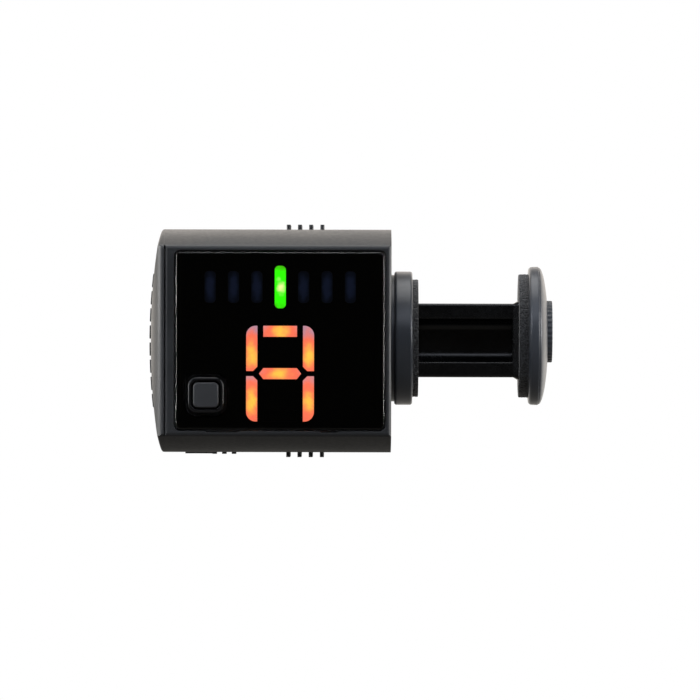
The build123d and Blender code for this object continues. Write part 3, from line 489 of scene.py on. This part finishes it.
@dataclass(frozen=True)
class SmokedPipe:
    """Unlit light pipe behind a smoked layer, with a faint painted glow in it."""

    name: str
    colour: str
    painted_glow: str
    # the painted glow's colour at the pipe's rim
    rim: str

    def build(self) -> Material:
        """Makes the unlit pipe: a painted blue glow that dies away towards its rim.

        Returns:
            The new material.
        """
        tree = SurfaceTree(self.name, IOR=1.58, Emission_Strength=1.0)
        mottle = tree.noise(0.8, detail=2)
        tree.tint(mottle, NOISE_SPAN, (0.0, 0.4), self.colour, "#000000")
        tree.connect("Roughness", tree.ramp(mottle, NOISE_SPAN, (0.4, 0.55)))
        reach = tree.from_middle((2.0, 2.0))[1]
        uneven = tree.combine("ADD", reach, tree.ramp(mottle, (0.25, 0.75), (-0.15, 0.15)))
        # painted glow: the emission is strongest in the pipe's middle and fades towards its rim
        painted_glow_fade = tree.ramp(uneven, (0.35, 1.1), (0.0, 1.0))
        tree.connect("Emission Color", tree.blend(painted_glow_fade, self.painted_glow, self.rim))
        return tree.material


@dataclass(frozen=True)
class Metal:
    """Bare or plated metal."""

    name: str
    colour: str
    tarnish: str
    roughness: float
    brushing: Brushing = Brushing.NONE
    scratch: float = 0.12
    depth: float = 0.002
    edge: float = 0.04

    def build(self) -> Material:
        """Makes the metal: coloured reflection, patchy gloss, and its fine scratches.

        Returns:
            The new material.
        """
        tree = SurfaceTree(self.name, Metallic=1.0)
        patch = tree.noise(2.5, detail=4)
        tree.tint(patch, (0.4, 0.75), (0.0, 1.0), self.colour, self.tarnish)
        spread = (self.roughness - 0.05, self.roughness + 0.08)
        tree.connect("Roughness", tree.ramp(patch, NOISE_SPAN, spread))
        if self.brushing is Brushing.ROUND_Y:
            rings = tree.add("TexWave", {"wave_type": "RINGS", "rings_direction": "Y"},
                             {"Vector": tree.millimetres, "Scale": 0.31 / self.scratch, "Distortion": 0.6})
            height = rings.outputs["Fac"]
        elif self.brushing is Brushing.ALONG_X:
            height = tree.noise(self.scratch, detail=2, stretch=(25, 1, 1))
        else:
            height = tree.noise(self.scratch, detail=3)
        tree.relief(height, self.depth, self.edge)
        return tree.material


@dataclass(frozen=True)
class BoardLaminate:
    """Glass-epoxy circuit board under green solder mask."""

    name: str
    mask: str
    copper: str
    track: float

    def build(self) -> Material:
        """Makes the board: raised copper tracks that show as paler lines under the mask.

        Returns:
            The new material.
        """
        tree = SurfaceTree(self.name, IOR=1.5)
        bricks = tree.add("TexBrick", {"offset": 0.37, "offset_frequency": 3, "squash": 0.6},
                          {"Vector": self.flat(tree), "Scale": 1.0, "Mortar Size": self.track,
                           "Mortar Smooth": 0.25, "Brick Width": 2.6, "Row Height": 0.9})
        lines = tree.ramp(bricks.outputs["Fac"], (0.2, 0.8), (0.0, 1.0))
        tree.connect("Base Color", tree.blend(lines, self.mask, self.copper))
        weave = tree.noise(0.4, detail=2)
        tree.connect("Roughness", tree.ramp(weave, NOISE_SPAN, (0.32, 0.45)))
        tree.relief(lines, 0.035)
        return tree.material

    def flat(self, tree: SurfaceTree) -> NodeSocket:
        """Gives coordinates in the board's own plane.

        Args:
            tree: the board's node tree.

        Returns:
            The coordinates' socket, in millimetres.
        """
        split = tree.add("SeparateXYZ", inputs={0: tree.millimetres})
        joined = tree.add("CombineXYZ", inputs={0: split.outputs["X"], 1: split.outputs["Z"]})
        return joined.outputs[0]


class Finishes:
    """Every finish of the tuner, each made into a material once."""

    # ABS, spark-eroded mould: a fine satin grain that turns light at a grazing angle
    HOUSING = MouldedPlastic("black_abs_spark_eroded", "#222426", "#2a2c2e", 0.42)
    # the same ABS from a finer tool: the end cap is a little smoother than the shells
    END_CAP = MouldedPlastic("black_abs_fine_grain", "#222426", "#292b2d", 0.42, grain=0.22)
    # ABS, stoned mould: blue-grey satin without visible grain, so long soft highlights
    JAW = MouldedPlastic("slate_abs_satin", "#3a3e44", "#42464c", 0.34, Tooling.STONED, 0.35, 0.002, 0.14)
    # acetal, draw-polished mould: deep black with fine streaks along the slide
    BAR = MouldedPlastic("black_acetal_draw_polished", "#09090a", "#0e0f10", 0.24, Tooling.DRAW_POLISHED,
                         0.35, 0.0008, 0.22, ior=1.48)
    # glass-filled nylon: dull and slightly mottled, for the hidden guide
    GUIDE = MouldedPlastic("black_nylon_glass_filled", "#161616", "#26262a", 0.55, grain=0.4, depth=0.01)
    # silicone-coated ABS key: soft touch, so almost no highlight
    BUTTON = MouldedPlastic("soft_touch_key", "#2b2c2e", "#313335", 0.5, grain=0.16, depth=0.003, edge=0.1)
    # ABS, polished mould: the surround's mirror gloss sets the key off
    GLOSS = MouldedPlastic("black_abs_polished", "#0e0e0f", "#131314", 0.14, Tooling.STONED, 0.35,
                           0.0008, 0.06)
    # polycarbonate light mask, matt black so that no light leaks between windows
    MASK = MouldedPlastic("black_polycarbonate_matt", "#0b0b0c", "#111112", 0.6, depth=0.003)
    # neoprene foam, die cut: smooth skin on the face, open dull cells round the edge
    FOAM = CellFoam("black_neoprene_foam", "#08080a", "#343536", 0.25, 0.06)
    # acrylic, polished: mirror gloss, nearly colourless
    LENS = ClearAcrylic("clear_acrylic_polished", "#f1f3f5", 0.03)
    # polyester film, screen printed: dead black behind the acrylic
    FILM = PrintedFilm("black_printed_polyester", "#020203", "#060607")
    # polycarbonate pipe over a green LED: yellow-green hot spot, pure green ends
    GREEN = LightPipe("polycarbonate_lit_green", "#f0ff9a", "#32ff0a", "#4a8a12", "#3f7d10",
                      core_reach=0.45, tip_start=0.7)
    # polycarbonate pipe over an orange-red LED: amber hot spot, coral body, dusty tips
    RED = LightPipe("polycarbonate_lit_orange_red", "#ffc84c", "#ff7656", "#cf8f93", "#e8705c",
                    core_reach=0.7, tip_start=0.7, spread=(2.0, 0.8))
    # the same pipes in the digit's upper and lower halves, each over an LED nearer its foot
    RED_UPPER = LightPipe("polycarbonate_lit_upper", "#ffc84c", "#ff7656", "#b98a9a", "#ee7660",
                          core_reach=0.75, tip_start=0.72, drop=0.15)
    RED_LOWER = LightPipe("polycarbonate_lit_lower", "#ffc84c", "#ff7656", "#d08c8e", "#e8705c",
                          core_reach=0.75, tip_start=0.75, drop=0.06)
    # the same pipe with its LED off, behind smoked ink: a faint painted blue glow
    SMOKED = SmokedPipe("polycarbonate_smoked_painted_glow", "#1d2643", "#0f1422", "#05070d")
    # epoxy LED lens, cast: pale and glossy
    LED = MouldedPlastic("cast_epoxy_led", "#d8d2b0", "#e8e4cc", 0.25, Tooling.STONED, 0.3, 0.001, 0.03)
    # glass epoxy under solder mask: dark green with slightly raised copper lines
    BOARD = BoardLaminate("glass_epoxy_solder_mask", "#0f2a1c", "#1f5236", 0.09)
    # epoxy moulding compound: charcoal with a fine matt texture
    CHIP = MouldedPlastic("epoxy_chip_package", "#1a1a1c", "#222225", 0.6, grain=0.1, depth=0.003, edge=0.04)
    # nickel-plated can of the crystal: bright, slightly rippled from drawing
    CAN = Metal("drawn_nickel_can", "#c9c7c2", "#aaa8a3", 0.28)
    # nickel-plated steel cell: turned lines and a soft mirror
    CELL = Metal("nickel_plated_steel_turned", "#cfcdc8", "#b7b5b0", 0.24, Brushing.ROUND_Y)
    # nickel-plated phosphor bronze: warm silver spring contacts
    CONTACT = Metal("nickel_plated_bronze", "#c8c0ae", "#aea48e", 0.3)
    # brass sheet, rolled: yellow with fine rolling lines
    BRASS = Metal("rolled_brass", "#d9b36a", "#b58f4a", 0.32, Brushing.ALONG_X)
    # silvered piezo ceramic: fired silver paint, dull and bright at once
    CERAMIC = Metal("fired_silver_on_ceramic", "#d6d3cc", "#bdb9b0", 0.5, depth=0.006)
    # PVC insulation, extruded
    RED_WIRE = MouldedPlastic("red_pvc_insulation", "#a3201c", "#b52c26", 0.4, Tooling.DRAW_POLISHED,
                              0.2, 0.002)
    BLACK_WIRE = MouldedPlastic("black_pvc_insulation", "#151516", "#1d1d1f", 0.4, Tooling.DRAW_POLISHED,
                                0.2, 0.002)
    # music wire: drawn steel, cool grey
    SPRING = Metal("drawn_music_wire", "#a9abae", "#8e9195", 0.26, Brushing.ALONG_X, depth=0.001)
    # steel screws with black oxide: dark, with worn bright edges
    SCREW = Metal("black_oxide_steel", "#4a4a4d", "#5b5b5f", 0.36)

    _made: dict = {}

    @classmethod
    def material(cls, finish: object) -> Material:
        """Gives a finish's material, and makes it the first time.

        Args:
            finish: the finish.

        Returns:
            Its material.
        """
        if finish.name not in cls._made:
            cls._made[finish.name] = finish.build()
        return cls._made[finish.name]


# ---------------------------------------------------------------------------- mesh tools
def make_piece(name: str, points: list, faces: list, finish: object, sharp: float = 40.0) -> Object:
    """Makes a smooth-shaded piece from points in millimetres.

    Args:
        name: the piece's name.
        points: its points in millimetres, in the frame.
        faces: its faces as tuples of point numbers.
        finish: the finish it gets.
        sharp: edges that turn by more than this many degrees stay sharp.

    Returns:
        The new object.
    """
    mesh = bpy.data.meshes.new(name)
    mesh.from_pydata([mm(Vector(p)) for p in points], [], faces)
    mesh.validate()
    mesh.polygons.foreach_set("use_smooth", [True] * len(mesh.polygons))
    mesh.set_sharp_from_angle(angle=math.radians(sharp))
    mesh.materials.append(Finishes.material(finish))
    piece = bpy.data.objects.new(name, mesh)
    bpy.context.scene.collection.objects.link(piece)
    return piece


def grid_faces(rows: int, columns: int, close_rows: bool = True) -> list[tuple[int, int, int, int]]:
    """Joins rows of points into quads, each row closed on itself.

    Args:
        rows: how many rows there are.
        columns: points in a row.
        close_rows: whether the last row joins the first.

    Returns:
        The quads as point numbers.
    """
    last = rows if close_rows else rows - 1
    return [(i * columns + j, i * columns + (j + 1) % columns,
             ((i + 1) % rows) * columns + (j + 1) % columns, ((i + 1) % rows) * columns + j)
            for i in range(last) for j in range(columns)]


def tube_faces(rows: int, columns: int) -> list[tuple[int, ...]]:
    """Joins rows of points into a tube with a face at each end.

    Args:
        rows: how many rows there are.
        columns: points in a row.

    Returns:
        The faces as point numbers.
    """
    last = (rows - 1) * columns
    ends = [tuple(reversed(range(columns))), tuple(range(last, last + columns))]
    return grid_faces(rows, columns, close_rows=False) + ends


def rounded_outline(corners: list[tuple[float, float, float]], steps: int = 6) -> list[Pair]:
    """Rounds the corners of an open outline with tangent arcs.

    Args:
        corners: each corner as two coordinates and the radius it gets.
        steps: points in each arc.

    Returns:
        The outline's points.
    """
    points = []
    for i, (x, y, radius) in enumerate(corners):
        here = Vector((x, y))
        if radius <= 0 or i in (0, len(corners) - 1):
            points.append((x, y))
            continue
        back = (Vector(corners[i - 1][:2]) - here).normalized()
        ahead = (Vector(corners[i + 1][:2]) - here).normalized()
        half = back.angle(ahead) / 2
        reach = radius / math.tan(half)
        centre = here + (back + ahead).normalized() * (radius / math.sin(half))
        start, end = here + back * reach - centre, here + ahead * reach - centre
        for k in range(steps + 1):
            spoke = start.lerp(end, k / steps).normalized() * radius
            points.append(tuple(centre + spoke))
    return points


def lathe(name: str, outline: list[Pair], finish: object, rise: float, segments: int = 144,
          knurl: object = None) -> Object:
    """Turns an outline of (x, radius) points about a line along the slide.

    Args:
        name: the piece's name.
        outline: points from one end to the other; a radius of zero closes that end.
        finish: the finish it gets.
        rise: how far the line stands above the slide axis.
        segments: steps round the axis.
        knurl: gives how far each point moves in at (x, radius, angle), or None.

    Returns:
        The new object.
    """
    points = []
    for x, radius in outline:
        for j in range(segments):
            angle = 2 * math.pi * j / segments
            r = max(radius, 1e-4) - (knurl(x, radius, angle) if knurl else 0.0)
            points.append((x, r * math.cos(angle), rise + r * math.sin(angle)))
    faces = [tuple(reversed(face)) for face in tube_faces(len(outline), segments)]
    return make_piece(name, points, faces, finish)


# --------------------------------------------------------------------------- the object
@dataclass
class SubAssembly:
    """A group of pieces that are made, dressed and reported together."""

    frame: dict

    def box(self, node: str) -> tuple[Vector, Vector]:
        """Finds where a CAD node is.

        Args:
            node: the node's name.

        Returns:
            Its lowest and highest corners in millimetres.
        """
        low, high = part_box(node)
        return low * MM_IN_METRE, high * MM_IN_METRE

    def dress(self, finish: object, *nodes: str) -> None:
        """Gives CAD nodes a finish.

        Args:
            finish: the finish.
            nodes: the nodes' names.
        """
        material = Finishes.material(finish)
        for name in nodes:
            node = self.frame["nodes"][name]
            if not node.material_slots:
                node.data.materials.append(material)
            for slot in node.material_slots:
                slot.material = material
            LOG.info("dressed %s in %s", name, finish.name)

    def fit(self, piece: Object, body: str, slot: str, *nodes: str) -> Object:
        """Puts a new piece on its body in place of CAD nodes.

        Args:
            piece: the new piece.
            body: the body it rides on.
            slot: the record's material slot it stands for; not used.
            nodes: the CAD nodes it replaces.

        Returns:
            The piece.
        """
        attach(piece, body)
        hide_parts(*nodes)
        LOG.info("built %s with %d faces for %s", piece.name, len(piece.data.polygons), ", ".join(nodes))
        return piece


@dataclass
class Housing(SubAssembly):
    """Front and rear shells, the end cap, and the screws that hold the shells together."""

    def build(self) -> None:
        """Dresses the shells, the cap and the screws."""
        self.dress(Finishes.HOUSING, "housing_front", "housing_rear", "battery_cover")
        self.dress(Finishes.END_CAP, "end_cap_left")
        self.dress(Finishes.SCREW, "case_screws")


@dataclass
class Display(SubAssembly):
    """Lens, printed film, light mask, and the lit and unlit light pipes."""

    lit_bar: int = 4
    bar_count: int = 7
    lit_segments: dict[str, LightPipe] = field(default_factory=lambda: {
        "ag": Finishes.RED, "bf": Finishes.RED_UPPER, "ce": Finishes.RED_LOWER})
    dark_segments: str = "d"

    def build(self) -> None:
        """Dresses the window from its front to its back."""
        self.dress(Finishes.LENS, "display_lens")
        self.dress(Finishes.FILM, "window_film")
        self.dress(Finishes.MASK, "light_mask")
        for number in range(1, self.bar_count + 1):
            finish = Finishes.GREEN if number == self.lit_bar else Finishes.SMOKED
            self.dress(finish, f"meter_bar_{number}")
        for letters, finish in self.lit_segments.items():
            self.dress(finish, *(f"digit_segment_{letter}" for letter in letters))
        self.dress(Finishes.FILM, *(f"digit_segment_{s}" for s in self.dark_segments))


@dataclass
class PowerKey(SubAssembly):
    """Power button, its surround and the switch behind it."""

    def build(self) -> None:
        """Dresses the key and its switch."""
        self.dress(Finishes.BUTTON, "power_button")
        self.dress(Finishes.GLOSS, "button_surround")
        self.dress(Finishes.CAN, "tact_switch")
        self.dress(Finishes.MASK, "switch_plunger")


@dataclass
class CircuitBoard(SubAssembly):
    """Circuit board and the parts soldered to it."""

    def build(self) -> None:
        """Dresses the board and its parts."""
        self.dress(Finishes.BOARD, "main_board")
        self.dress(Finishes.LED, "meter_leds", "segment_leds")
        self.dress(Finishes.CHIP, "microcontroller", "preamp_chip", "chip_passives")
        self.dress(Finishes.CAN, "timing_crystal")


@dataclass
class FoamPad(SubAssembly):
    """Die-cut foam ring on one of the jaws, with a window for the bar."""

    window_power: float = 12.0
    edge_round: float = 0.16
    around: int = 360
    cell: float = 0.25
    fine_cell: float = 0.45
    fine_share: float = 0.5
    side_wander: float = 0.12
    face_wander: float = 0.012
    skin_start: float = 0.97
    round_share: float = 0.2
    face_steps: int = 12
    back_steps: int = 6

    def hole_reach(self, angle: float, half_y: float, half_z: float) -> float:
        """Finds the window's edge, a rectangle with rounded corners.

        Args:
            angle: the direction from the slide axis.
            half_y: half the window's width.
            half_z: half the window's height.

        Returns:
            The distance from the axis to the edge.
        """
        across, up = abs(math.cos(angle)) / half_y, abs(math.sin(angle)) / half_z
        return (across ** self.window_power + up ** self.window_power) ** (-1 / self.window_power)

    def section(self) -> list[tuple[float, float, float]]:
        """Draws the ring's section.

        Returns:
            Points as share from window to rim, share of the thickness, and inset in millimetres.
        """
        rounds = [(math.cos(a), math.sin(a)) for a in (math.radians(d) for d in (0, 30, 60, 90))]
        path = [(0.0, t, 0.0) for t in (0.0, 0.25, 0.5, 0.75, 1.0)]
        path += [(s / self.face_steps, 1.0, 0.0) for s in range(1, self.face_steps)]
        path += [(1.0, 1.0 - self.round_share * (1 - up), self.edge_round * (1 - out))
                 for out, up in reversed(rounds)]
        path += [(1.0, t, 0.0) for t in (0.65, 0.5, 0.35, 0.2, 0.08, 0.0)]
        path += [(s / self.back_steps, 0.0, 0.0) for s in range(self.back_steps - 1, 0, -1)]
        return path

    def build(self, name: str, node: str, body: str, bore: Pair, towards: int) -> None:
        """Makes one pad in place of its plain CAD ring.

        Args:
            name: the new piece's name.
            node: the CAD node it stands for.
            body: the body it rides on.
            bore: half the window's width and height in millimetres.
            towards: 1 if its gripping face looks along +X, -1 if along -X.
        """
        low, high = self.box(node)
        radius, rise = (high.z - low.z) / 2, (high.z + low.z) / 2
        back, face = (low.x, high.x) if towards > 0 else (high.x, low.x)
        section = self.section()
        points = []
        for share, depth, inset in section:
            for j in range(self.around):
                angle = 2 * math.pi * j / self.around
                hole = self.hole_reach(angle, *bore)
                rim = rise * math.sin(angle) + math.sqrt(radius ** 2 - (rise * math.cos(angle)) ** 2)
                reach = hole + share * (rim - inset - hole)
                x = back + depth * (face - back)
                spot = Vector((x, reach * math.cos(angle), reach * math.sin(angle)))
                fine = noise.noise(spot / (self.cell * self.fine_cell))
                cells = noise.noise(spot / self.cell) + self.fine_share * fine
                side = share in (0.0, 1.0) and 0.0 < depth < self.skin_start
                reach -= (self.side_wander * (1 + cells) / 2 if side else 0.0)
                x -= towards * (self.face_wander * (1 + cells) if depth == 1.0 else 0.0)
                points.append((x, reach * math.cos(angle), reach * math.sin(angle)))
        faces = grid_faces(len(section), self.around)
        if towards < 0:
            faces = [tuple(reversed(f)) for f in faces]
        pad = make_piece(name, points, faces, Finishes.FOAM, sharp=70)
        self.fit(pad, body, "pad_rubber", node)


@dataclass
class FixedJaw(SubAssembly):
    """Disc on the housing's right end and its foam pad."""

    bore: Pair = (3.3, 4.5)

    def build(self) -> None:
        """Dresses the disc and makes its pad."""
        self.dress(Finishes.JAW, "fixed_jaw")
        FoamPad(self.frame).build("fixed_pad_foam", "fixed_pad", "housing", self.bore, 1)


@dataclass
class MovingJaw(SubAssembly):
    """Outer disc with its crowned cap, the round plate on it, and its foam pad."""

    bore: Pair = (3.55, 4.75)
    front_round: float = 0.42
    back_round: float = 0.14
    draft: float = 0.05
    plate_round: float = 0.1
    grooves: tuple[float, ...] = (2.8, 2.0, 1.2)
    groove_width: float = 0.35
    groove_depth: float = 0.2
    groove_round: float = 0.04
    ribs: int = 36
    rib_depth: float = 0.09
    rib_steepness: float = 4.0

    def build(self) -> None:
        """Makes the disc, the plate and the pad, and dresses the cap."""
        FoamPad(self.frame).build("moving_pad_foam", "moving_pad", "slider", self.bore, -1)
        self.fit(self.disc(), "slider", "jaw_plastic", "moving_jaw")
        self.fit(self.plate(), "slider", "jaw_plastic", "cap_badge")
        self.dress(Finishes.JAW, "jaw_cap")
        self.dress(Finishes.SCREW, "jaw_screws")

    def disc(self) -> Object:
        """Makes the disc, rounded towards the gap and with a slight draft.

        Returns:
            The disc.
        """
        low, high = self.box("moving_jaw")
        radius = (high.z - low.z) / 2
        outline = rounded_outline([
            (low.x, 0.0, 0), (low.x, radius - self.draft, self.front_round),
            (high.x, radius, self.back_round), (high.x, 0.0, 0)])
        return lathe("moving_jaw_disc", outline, Finishes.JAW, (low.z + high.z) / 2)

    def plate(self) -> Object:
        """Makes the round plate, with ring grooves on its face and fine ribs on its edge.

        Returns:
            The plate.
        """
        low, high = self.box("cap_badge")
        radius = (high.z - low.z) / 2
        corners = [(low.x, 0.0, 0), (low.x, radius, 0), (high.x, radius, self.plate_round)]
        for groove in self.grooves:
            inner = groove - self.groove_width
            floor = high.x - self.groove_depth
            corners += [(x, r, self.groove_round) for x, r in ((high.x, groove), (floor, groove),
                                                               (floor, inner), (high.x, inner))]
        corners.append((high.x, 0.0, 0))

        def knurl(x: float, r: float, angle: float) -> float:
            """Gives how far the rib pattern moves a point of the rim in.

            Args:
                x: where along the slide the point is.
                r: its radius.
                angle: its direction.

            Returns:
                The distance in millimetres.
            """
            if r < radius - self.plate_round:
                return 0.0
            wave = math.tanh(self.rib_steepness * math.cos(self.ribs * angle))
            return self.rib_depth * (1 - wave) / 2

        return lathe("jaw_plate", rounded_outline(corners, 3), Finishes.JAW, (low.z + high.z) / 2, 288, knurl)


@dataclass
class Slide(SubAssembly):
    """Sliding bar, its guide, and the return spring with its seat."""

    turns: int = 12
    wire_steps: int = 10
    coil_steps: int = 36
    wire: float = 0.36
    end_turns: float = 1.0
    travel: float = 8.0

    def build(self) -> None:
        """Dresses the bar and the guide, and winds the spring."""
        self.dress(Finishes.BAR, "slider_bar")
        self.dress(Finishes.GUIDE, "slide_guide", "spring_seat")
        self.dress(Finishes.SCREW, "guide_screws")
        self.spring()

    def spring(self) -> None:
        """Winds the spring with closed ends, and gives the coil its own mesh."""
        low, high = self.box("return_spring")
        length = high.x - low.x - self.wire
        mean = (high.z - low.z - self.wire) / 2
        axis_y, axis_z = (low.y + high.y) / 2, (low.z + high.z) / 2
        total = self.turns + 2 * self.end_turns
        steps = int(total * self.coil_steps)
        closed = self.wire * self.end_turns
        points = []
        for i in range(steps + 1):
            turn = i / self.coil_steps
            if turn < self.end_turns:
                x = turn * self.wire
            elif turn > total - self.end_turns:
                x = length - (total - turn) * self.wire
            else:
                x = closed + (turn - self.end_turns) * (length - 2 * closed) / self.turns
            angle = 2 * math.pi * turn
            out = Vector((0, math.cos(angle), math.sin(angle)))
            centre = Vector((low.x + self.wire / 2 + x, axis_y, axis_z)) + out * mean
            for k in range(self.wire_steps):
                spin = 2 * math.pi * k / self.wire_steps
                spoke = out * math.cos(spin) + Vector((1, 0, 0)) * math.sin(spin)
                points.append(centre + spoke * self.wire / 2)
        faces = tube_faces(steps + 1, self.wire_steps)
        coil = make_piece("return_spring_coil", points, faces, Finishes.SPRING, sharp=60)
        self.fit(coil, "housing", "spring_steel", "return_spring")
        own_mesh(coil)


@dataclass
class BatteryBay(SubAssembly):
    """Coin cell and its two contacts."""

    def build(self) -> None:
        """Dresses the cell and the contacts."""
        self.dress(Finishes.CELL, "coin_cell")
        self.dress(Finishes.CONTACT, "positive_contact", "negative_contact")


@dataclass
class Pickup(SubAssembly):
    """Piezo disc that feels the instrument's vibration, and its leads."""

    def build(self) -> None:
        """Dresses the disc, the ceramic and the leads."""
        self.dress(Finishes.BRASS, "pickup_disc")
        self.dress(Finishes.CERAMIC, "pickup_ceramic")
        self.dress(Finishes.RED_WIRE, "pickup_lead_signal")
        self.dress(Finishes.BLACK_WIRE, "pickup_lead_ground")


# ------------------------------------------------------------------------------- studio
@dataclass(frozen=True)
class SoftBox:
    """A square soft light, placed in millimetres from the object's middle."""

    name: str
    place: tuple[float, float, float]
    size: float
    watts: float
    colour: str = "#ffffff"

    def build(self, middle: Vector) -> None:
        """Hangs the light so that it faces the object.

        Args:
            middle: the middle of the object in metres.
        """
        data = bpy.data.lights.new(self.name, "AREA")
        data.shape = "SQUARE"
        data.size = mm(self.size)
        data.energy = self.watts
        data.color = linear(self.colour)[:3]
        lamp = bpy.data.objects.new(self.name, data)
        away = mm(Vector(self.place))
        lamp.location = middle + away
        lamp.rotation_mode = "QUATERNION"
        lamp.rotation_quaternion = (-away).to_track_quat("-Z", "Y")
        lamp.visible_camera = False
        bpy.context.scene.collection.objects.link(lamp)
        LOG.info("hung light %s", self.name)


@dataclass
class Studio:
    """White table, pale surround, soft lights and a long-lens camera."""

    camera_distance: float = 900.0
    picture_width: float = 81.9
    aim: tuple[float, float, float] = (-7.975, -0.25, -1.15)
    roll: float = 0.14
    sensor: float = 36.0
    table_front: float = 140.0
    table_back: float = 900.0
    table_side: float = 700.0
    table_round: float = 60.0
    table_steps: int = 8
    table_glow: Pair = (0.13, 1.3)
    # where the table's glow is dimmed behind the object: a painted shadow of the object on the table
    painted_shadow_span: Pair = (-10.0, 45.0)
    rear_glow: float = 1.6
    room_glow: float = 0.02
    rear_span: Pair = (-0.25, 0.5)
    horizon_span: Pair = (0.35, 0.75)
    zenith_share: float = 0.15
    table_white: str = "#fffaf2"
    room_white: str = "#fff7ee"
    seen_white: str = "#ffffff"
    clip: Pair = (0.05, 5.0)
    lights: list[SoftBox] = field(default_factory=lambda: [
        SoftBox("top_soft_box", (-60, 40, 480), 420, 1.6),
        SoftBox("front_left_fill", (-420, -420, 300), 260, 1.5, "#eef3ff"),
        SoftBox("front_right_fill", (420, -460, 260), 240, 1.0, "#eef3ff"),
        SoftBox("front_top_fill", (0, -520, 430), 300, 0.5, "#e9f0ff"),
        SoftBox("left_strip", (-480, -60, 20), 260, 2.4),
        SoftBox("right_strip", (480, -60, 20), 260, 2.4),
    ])

    def build(self) -> None:
        """Sets up the table, the surround, the lights and the camera."""
        low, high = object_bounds()
        middle = (low + high) / 2
        self.table(low.z)
        self.surround()
        for light in self.lights:
            light.build(middle)
        self.camera()
        bpy.context.scene.view_settings.view_transform = "Standard"

    def table(self, height: float) -> None:
        """Makes the white table under the object.

        Args:
            height: the table's height in metres.
        """
        corners = [(self.table_side, -self.table_front), (self.table_side, self.table_back),
                   (-self.table_side, self.table_back), (-self.table_side, -self.table_front)]
        points = []
        for x, y in corners:
            inward = Vector((x - math.copysign(self.table_round, x), y - math.copysign(self.table_round, y)))
            start = math.atan2(math.copysign(1, y), math.copysign(1, x)) - math.pi / 4
            for k in range(self.table_steps + 1):
                angle = start + math.pi / 2 * k / self.table_steps
                points.append((inward.x + self.table_round * math.cos(angle),
                               inward.y + self.table_round * math.sin(angle), height * MM_IN_METRE))
        mesh = bpy.data.meshes.new("table")
        mesh.from_pydata([mm(Vector(p)) for p in points], [], [tuple(range(len(points)))])
        table = bpy.data.objects.new("table", mesh)
        mesh.materials.append(self.table_material())
        bpy.context.scene.collection.objects.link(table)
        table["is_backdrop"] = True

    def table_material(self) -> Material:
        """Makes the lit table: plain white to look at, and for other rays a glow that is dimmed beside the
        object, a painted shadow of the object.

        Returns:
            The table's material.
        """
        material = bpy.data.materials.new("lit_white_table_painted_shadow")
        tree = ShaderTree(material)
        place = tree.add("NewGeometry")
        split = tree.add("SeparateXYZ", inputs={0: place.outputs["Position"]})
        shade = (mm(self.painted_shadow_span[0]), mm(self.painted_shadow_span[1]))
        # painted shadow: the glow for other rays is weakest close behind the object
        glow = tree.ramp(split.outputs["Y"], shade, self.table_glow)
        self.shine(tree, "Emission", "OutputMaterial", self.table_white, glow)
        return material

    def shine(self, tree: ShaderTree, shader: str, output: str, colour: str,
              glow: NodeSocket) -> None:
        """Shows the camera plain white, and sends light to every other ray.

        Args:
            tree: the node tree.
            shader: the kind of node that shines.
            output: the kind of node that ends the tree.
            colour: the light's colour.
            glow: the light's strength.
        """
        seen = tree.add(shader, inputs={"Color": linear(self.seen_white), "Strength": 1.0})
        cast = tree.add(shader, inputs={"Color": linear(colour), "Strength": glow})
        path = tree.add("LightPath")
        mix = tree.add("MixShader", inputs={0: path.outputs["Is Camera Ray"], 1: cast.outputs[0],
                                            2: seen.outputs[0]})
        tree.add(output, inputs={0: mix.outputs[0]})

    def surround(self) -> None:
        """Lights the object from behind with a white surround, and leaves its front dim."""
        world = bpy.data.worlds.new("pale_surround")
        bpy.context.scene.world = world
        tree = ShaderTree(world)
        place = tree.add("TexCoord")
        split = tree.add("SeparateXYZ", inputs={0: place.outputs["Generated"]})
        behind = tree.ramp(split.outputs["Y"], self.rear_span, (0.0, self.rear_glow))
        above = tree.ramp(split.outputs["Z"], self.horizon_span, (1.0, self.zenith_share))
        glow = tree.add("Math", {"operation": "MULTIPLY_ADD"}, {0: behind, 1: above, 2: self.room_glow})
        self.shine(tree, "Background", "OutputWorld", self.room_white, glow.outputs[0])

    def camera(self) -> None:
        """Places the long-lens camera square to the display."""
        data = bpy.data.cameras.new("long_lens")
        data.sensor_width = self.sensor
        data.lens = self.sensor * self.camera_distance / self.picture_width
        data.clip_start, data.clip_end = self.clip
        camera = bpy.data.objects.new("long_lens", data)
        away = Vector((0, -1, 0)) * mm(self.camera_distance)
        look = (-away).to_track_quat("-Z", "Y").to_matrix().to_4x4()
        spin = Matrix.Rotation(math.radians(self.roll), 4, "Z")
        camera.matrix_world = Matrix.Translation(mm(Vector(self.aim)) + away) @ look @ spin
        bpy.context.scene.collection.objects.link(camera)
        bpy.context.scene.camera = camera
        LOG.info("camera lens %.0f mm", data.lens)


def main() -> None:
    """Loads the frame, builds the tuner round it, and sets up the studio."""
    logging.basicConfig(level=logging.INFO, format="%(name)s: %(message)s")
    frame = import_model()
    for group in (Housing, Display, PowerKey, CircuitBoard, FixedJaw, MovingJaw, Slide, BatteryBay, Pickup):
        LOG.info("%s", group.__name__)
        group(frame).build()
    Studio().build()


if __name__ == "__main__":
    main()
